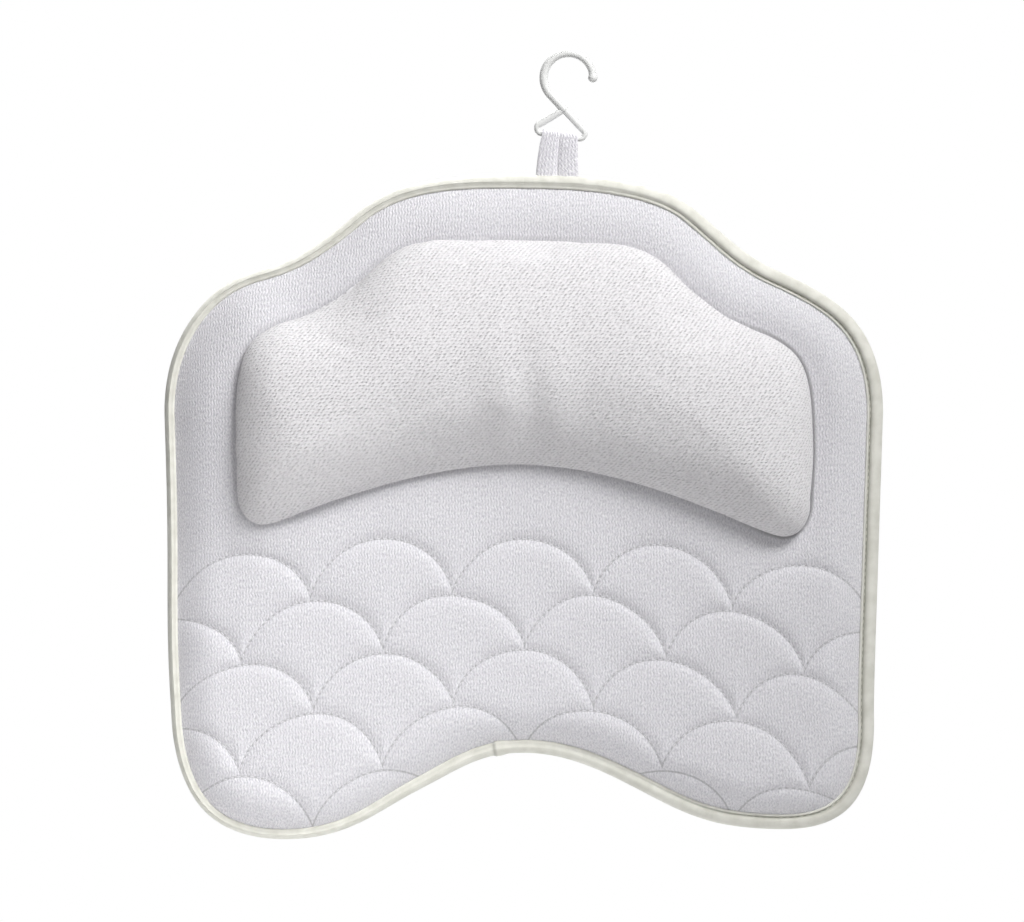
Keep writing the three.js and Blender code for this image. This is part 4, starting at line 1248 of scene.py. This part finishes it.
def grain_mesh(name, colour, shade, pitch, row):
    """Open spacer mesh: rows of small dark slanted grains, uneven in depth, and soft yarn."""
    material, wire = new_material(name)
    u, v, uv = uv_of(wire)
    wander = uv.noise(110, 3)
    slanted = wire.node("ShaderNodeCombineXYZ", {0: (u + v) * 0.4, 1: v - u})
    yarn = slanted.noise(750, 2, Roughness=0.6)
    across, up = u + wander * (4 * MM), v + wander * (3 * MM)
    hole = grain_rows(wire, across, up, pitch, row, -0.6, (0.25, 0.36))
    tone = 0.08 + hole * 0.6 + (yarn - 0.5) * 2
    base = tone.math("MAXIMUM", 0).mix(colour, shade)
    finish_material(wire, base, 0.82 + hole * 0.12, yarn * 0.8 - hole, 0.5 * MM, **CLOTH_FINISH)
    return material


def woven_tape():
    """Cream tape: fine ribs across it, lengthwise threads, uneven colour, painted shade in and beside
    the groove that is stronger on the right, a painted shade line at the tape's end, and a painted
    highlight on the lip on the right."""
    material, wire = new_material("woven_tape")
    u, v, uv = uv_of(wire)
    rib = (u * (2 * math.pi / (0.75 * MM))).math("SINE")
    along = (v * (2 * math.pi / (0.9 * MM))).math("SINE")
    weave = rib * along
    cloud = uv.noise(120, 4)
    from_groove = v.math("ABSOLUTE")
    side, end, _ = uv_of(wire, "side")
    # Painted shade: the tape darkens towards its groove, more on the right side
    groove_shade = (1 - from_groove.ease(0.3 * MM, 4 * MM)) * (0.2 + side * 0.8)
    # Painted shade: a dark line in the groove, strongest on the right side
    line = (1 - from_groove.ease(0.25 * MM, 0.9 * MM)) * (0.15 + side * 0.85)
    # Painted highlight: a pale band on the lip beside the groove, only on the right side
    lip = v.ease(0.6 * MM, 1.2 * MM) * (1 - v.ease(2.4 * MM, 3.4 * MM)) * side
    tone = cloud.ease(0.3, 0.75) * 0.6 + weave * 0.12 + groove_shade * 0.35 + 0.1
    base = tone.mix(*TAPE_YARN)
    # Painted shade: the groove's line and the tape end's line mix towards a dark colour
    base = (line * 0.6).math("MAXIMUM", end * 0.6).mix(base, TAPE_GROOVE_SHADE)
    base = (lip * 0.6).mix(base, TAPE_LIP_HIGHLIGHT)
    finish_material(wire, base, 0.55 + cloud * 0.2, weave + cloud, 0.05 * MM, Sheen_Weight=0.2,
                    Specular_IOR_Level=0.4)
    return material


def thread(name, colour):
    """Twisted polyester thread."""
    material, wire = new_material(name)
    twist = object_place(wire).noise(2600, 1)
    base = twist.mix(colour, darker(colour, 0.86))
    finish_material(wire, base, 0.45 + twist * 0.2, twist, 0.05 * MM)
    return material


def hook_plastic():
    """White moulded plastic, glossy, with faint flow marks and handling haze."""
    material, wire = new_material("hook_plastic")
    at = object_place(wire)
    flow = at.noise(160, 3, Distortion=1.2)
    haze = at.noise(700, 4)
    base = flow.mix((0.84, 0.845, 0.83, 1), (0.80, 0.805, 0.79, 1))
    finish_material(wire, base, 0.2 + haze * 0.16, haze, 0.02 * MM, Specular_IOR_Level=0.5)
    return material


def clear_vinyl():
    """Soft clear vinyl, faintly hazed."""
    material, wire = new_material("clear_vinyl")
    haze = object_place(wire).noise(240, 4)
    base = haze.mix((0.90, 0.94, 0.94, 1), (0.84, 0.90, 0.91, 1))
    finish_material(wire, base, 0.06 + haze * 0.12, Transmission_Weight=0.92, IOR=1.45)
    return material


def plain_floor():
    """Pale matt floor."""
    material, wire = new_material("plain_floor")
    grain = object_place(wire).noise(30, 3)
    base = grain.mix((0.86, 0.86, 0.86, 1), (0.84, 0.84, 0.84, 1))
    finish_material(wire, base, 0.9)
    return material


# Studio


def floor():
    """A round pale floor below the pillow."""
    radius = np.array([FLOOR_RADIUS, FLOOR_RADIUS, 0.01])
    height = np.array([FLOOR_HEIGHT - 2 * MM, FLOOR_HEIGHT, FLOOR_HEIGHT])
    plane = radius[:, None, None] * round_points(full_turn(96))
    points = np.stack(np.broadcast_arrays(plane[..., 0], plane[..., 1], height[:, None]), axis=-1)
    piece = grid_piece("floor", points)
    piece.data.polygons.foreach_set("use_smooth", np.zeros(len(piece.data.polygons), bool))
    piece.data.materials.append(plain_floor())


def camera():
    """A long lens that looks at the pad's front from a little above its middle."""
    lens = bpy.data.cameras.new("camera")
    lens.sensor_width = SENSOR_WIDTH
    lens.lens = SENSOR_WIDTH * CAMERA_DISTANCE / (IMAGE_WIDTH * METRES_PER_PIXEL)
    lens.clip_end = 50
    view = bpy.data.objects.new("camera", lens)
    level = CAMERA_DISTANCE * math.cos(CAMERA_ELEVATION)
    view.location = (
        CAMERA_AIM[0] + level * math.sin(CAMERA_AZIMUTH),
        CAMERA_AIM[1] - level * math.cos(CAMERA_AZIMUTH),
        CAMERA_AIM[2] + CAMERA_DISTANCE * math.sin(CAMERA_ELEVATION),
    )
    view.rotation_euler = (math.pi / 2 - CAMERA_ELEVATION, 0, CAMERA_AZIMUTH)
    bpy.context.scene.collection.objects.link(view)
    bpy.context.scene.camera = view


def lamp(name, place_at, aim, size, power, spread):
    """A square soft lamp that faces a place, and spreads over an angle."""
    light = bpy.data.lights.new(name, "AREA")
    light.size = size
    light.energy = power
    light.spread = math.radians(spread)
    holder = bpy.data.objects.new(name, light)
    holder.location = place_at
    away = holder.location - Vector(aim)
    holder.rotation_euler = away.to_track_quat("Z", "Y").to_euler()
    bpy.context.scene.collection.objects.link(holder)


def studio():
    """A large lamp above and to the right, two weak ones low down, one for the back, and a dim
    even room that looks white to the camera, in gloss and through clear pieces."""
    for name, settings in LAMPS.items():
        lamp(name, *settings)
    world = bpy.data.worlds.new("room")
    bpy.context.scene.world = world
    world.use_nodes = True
    world.node_tree.nodes.clear()
    wire = Wire(world.node_tree)
    rays = [wire.node("ShaderNodeLightPath", (), name)
            for name in ("Is Camera Ray", "Is Glossy Ray", "Is Transmission Ray")]
    seen = rays[0].math("MAXIMUM", rays[1]).math("MAXIMUM", rays[2])
    ambient = wire.node("ShaderNodeBackground", {"Color": (0.985, 0.98, 1, 1), "Strength": ROOM_LIGHT})
    white = wire.node("ShaderNodeBackground", {"Color": (1, 1, 1, 1), "Strength": 1})
    both = wire.node("ShaderNodeMixShader", {0: seen, 1: ambient, 2: white})
    wire.node("ShaderNodeOutputWorld", {"Surface": both})
    bpy.context.scene.view_settings.view_transform = "Standard"


def dress(piece, material):
    """Gives a piece its material."""
    piece.data.materials.append(material)
    return piece


def build():
    """All pieces, each with its finish, on the body that carries it."""
    panel = *PANEL_YARN, 1.8 * MM, 2.4 * MM, 1.7
    # Painted shade lines: along the quilting's creases on front and back, and along the headrest's seam on
    # the front
    quilted = streaked_mesh("quilted_mesh", *panel, [(stitch_crease_shade, 0.6), (seam_shade_line, 1)])
    backing = streaked_mesh("backing_mesh", *panel, [(stitch_crease_shade, 0.6)])
    pocketing = streaked_mesh("pocket_mesh", *panel)
    strip = streaked_mesh("loop_mesh", *LOOP_YARN, 2.0 * MM, 1.5 * MM, 1.8)
    cushion = grain_mesh("headrest_mesh", *HEADREST_YARN, 2.7 * MM, 1.9 * MM)
    white_thread = thread("white_thread", WHITE_THREAD)
    cream_thread = thread("cream_thread", CREAM_THREAD)
    tape = woven_tape()
    vinyl = clear_vinyl()

    front = dress(quilted_front(), quilted)
    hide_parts("front_panel", "wadding")
    back = dress(back_cloth(), backing)
    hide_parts("back_panel")
    headrest = dress(headrest_cushion(), cushion)
    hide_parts("headrest_cover", "headrest_filling")
    binding = dress(bound_edge(), tape)
    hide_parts("edge_binding")
    sewn = [
        dress(quilting_stitches(), white_thread),
        dress(binding_stitches(), cream_thread),
        dress(pocket_stitches(), white_thread),
    ]
    for piece in (front, back, headrest, binding, *sewn):
        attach(piece, "pillow")

    loop = dress(loop_strip(), strip)
    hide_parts("hanging_loop")
    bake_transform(loop)
    hook = dress(hanging_hook(), hook_plastic())
    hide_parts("hook")
    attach(hook, "hook")

    for number in range(1, CUP_COUNT + 1):
        cup = dress(suction_cup(number), vinyl)
        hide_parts(f"suction_cup_{number}")
        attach(cup, f"suction_cup_{number}")
        pocket = dress(sewn_pocket(number), pocketing)
        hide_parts(f"cup_patch_{number}")
        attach(pocket, "pillow")


camera()
build()
floor()
studio()
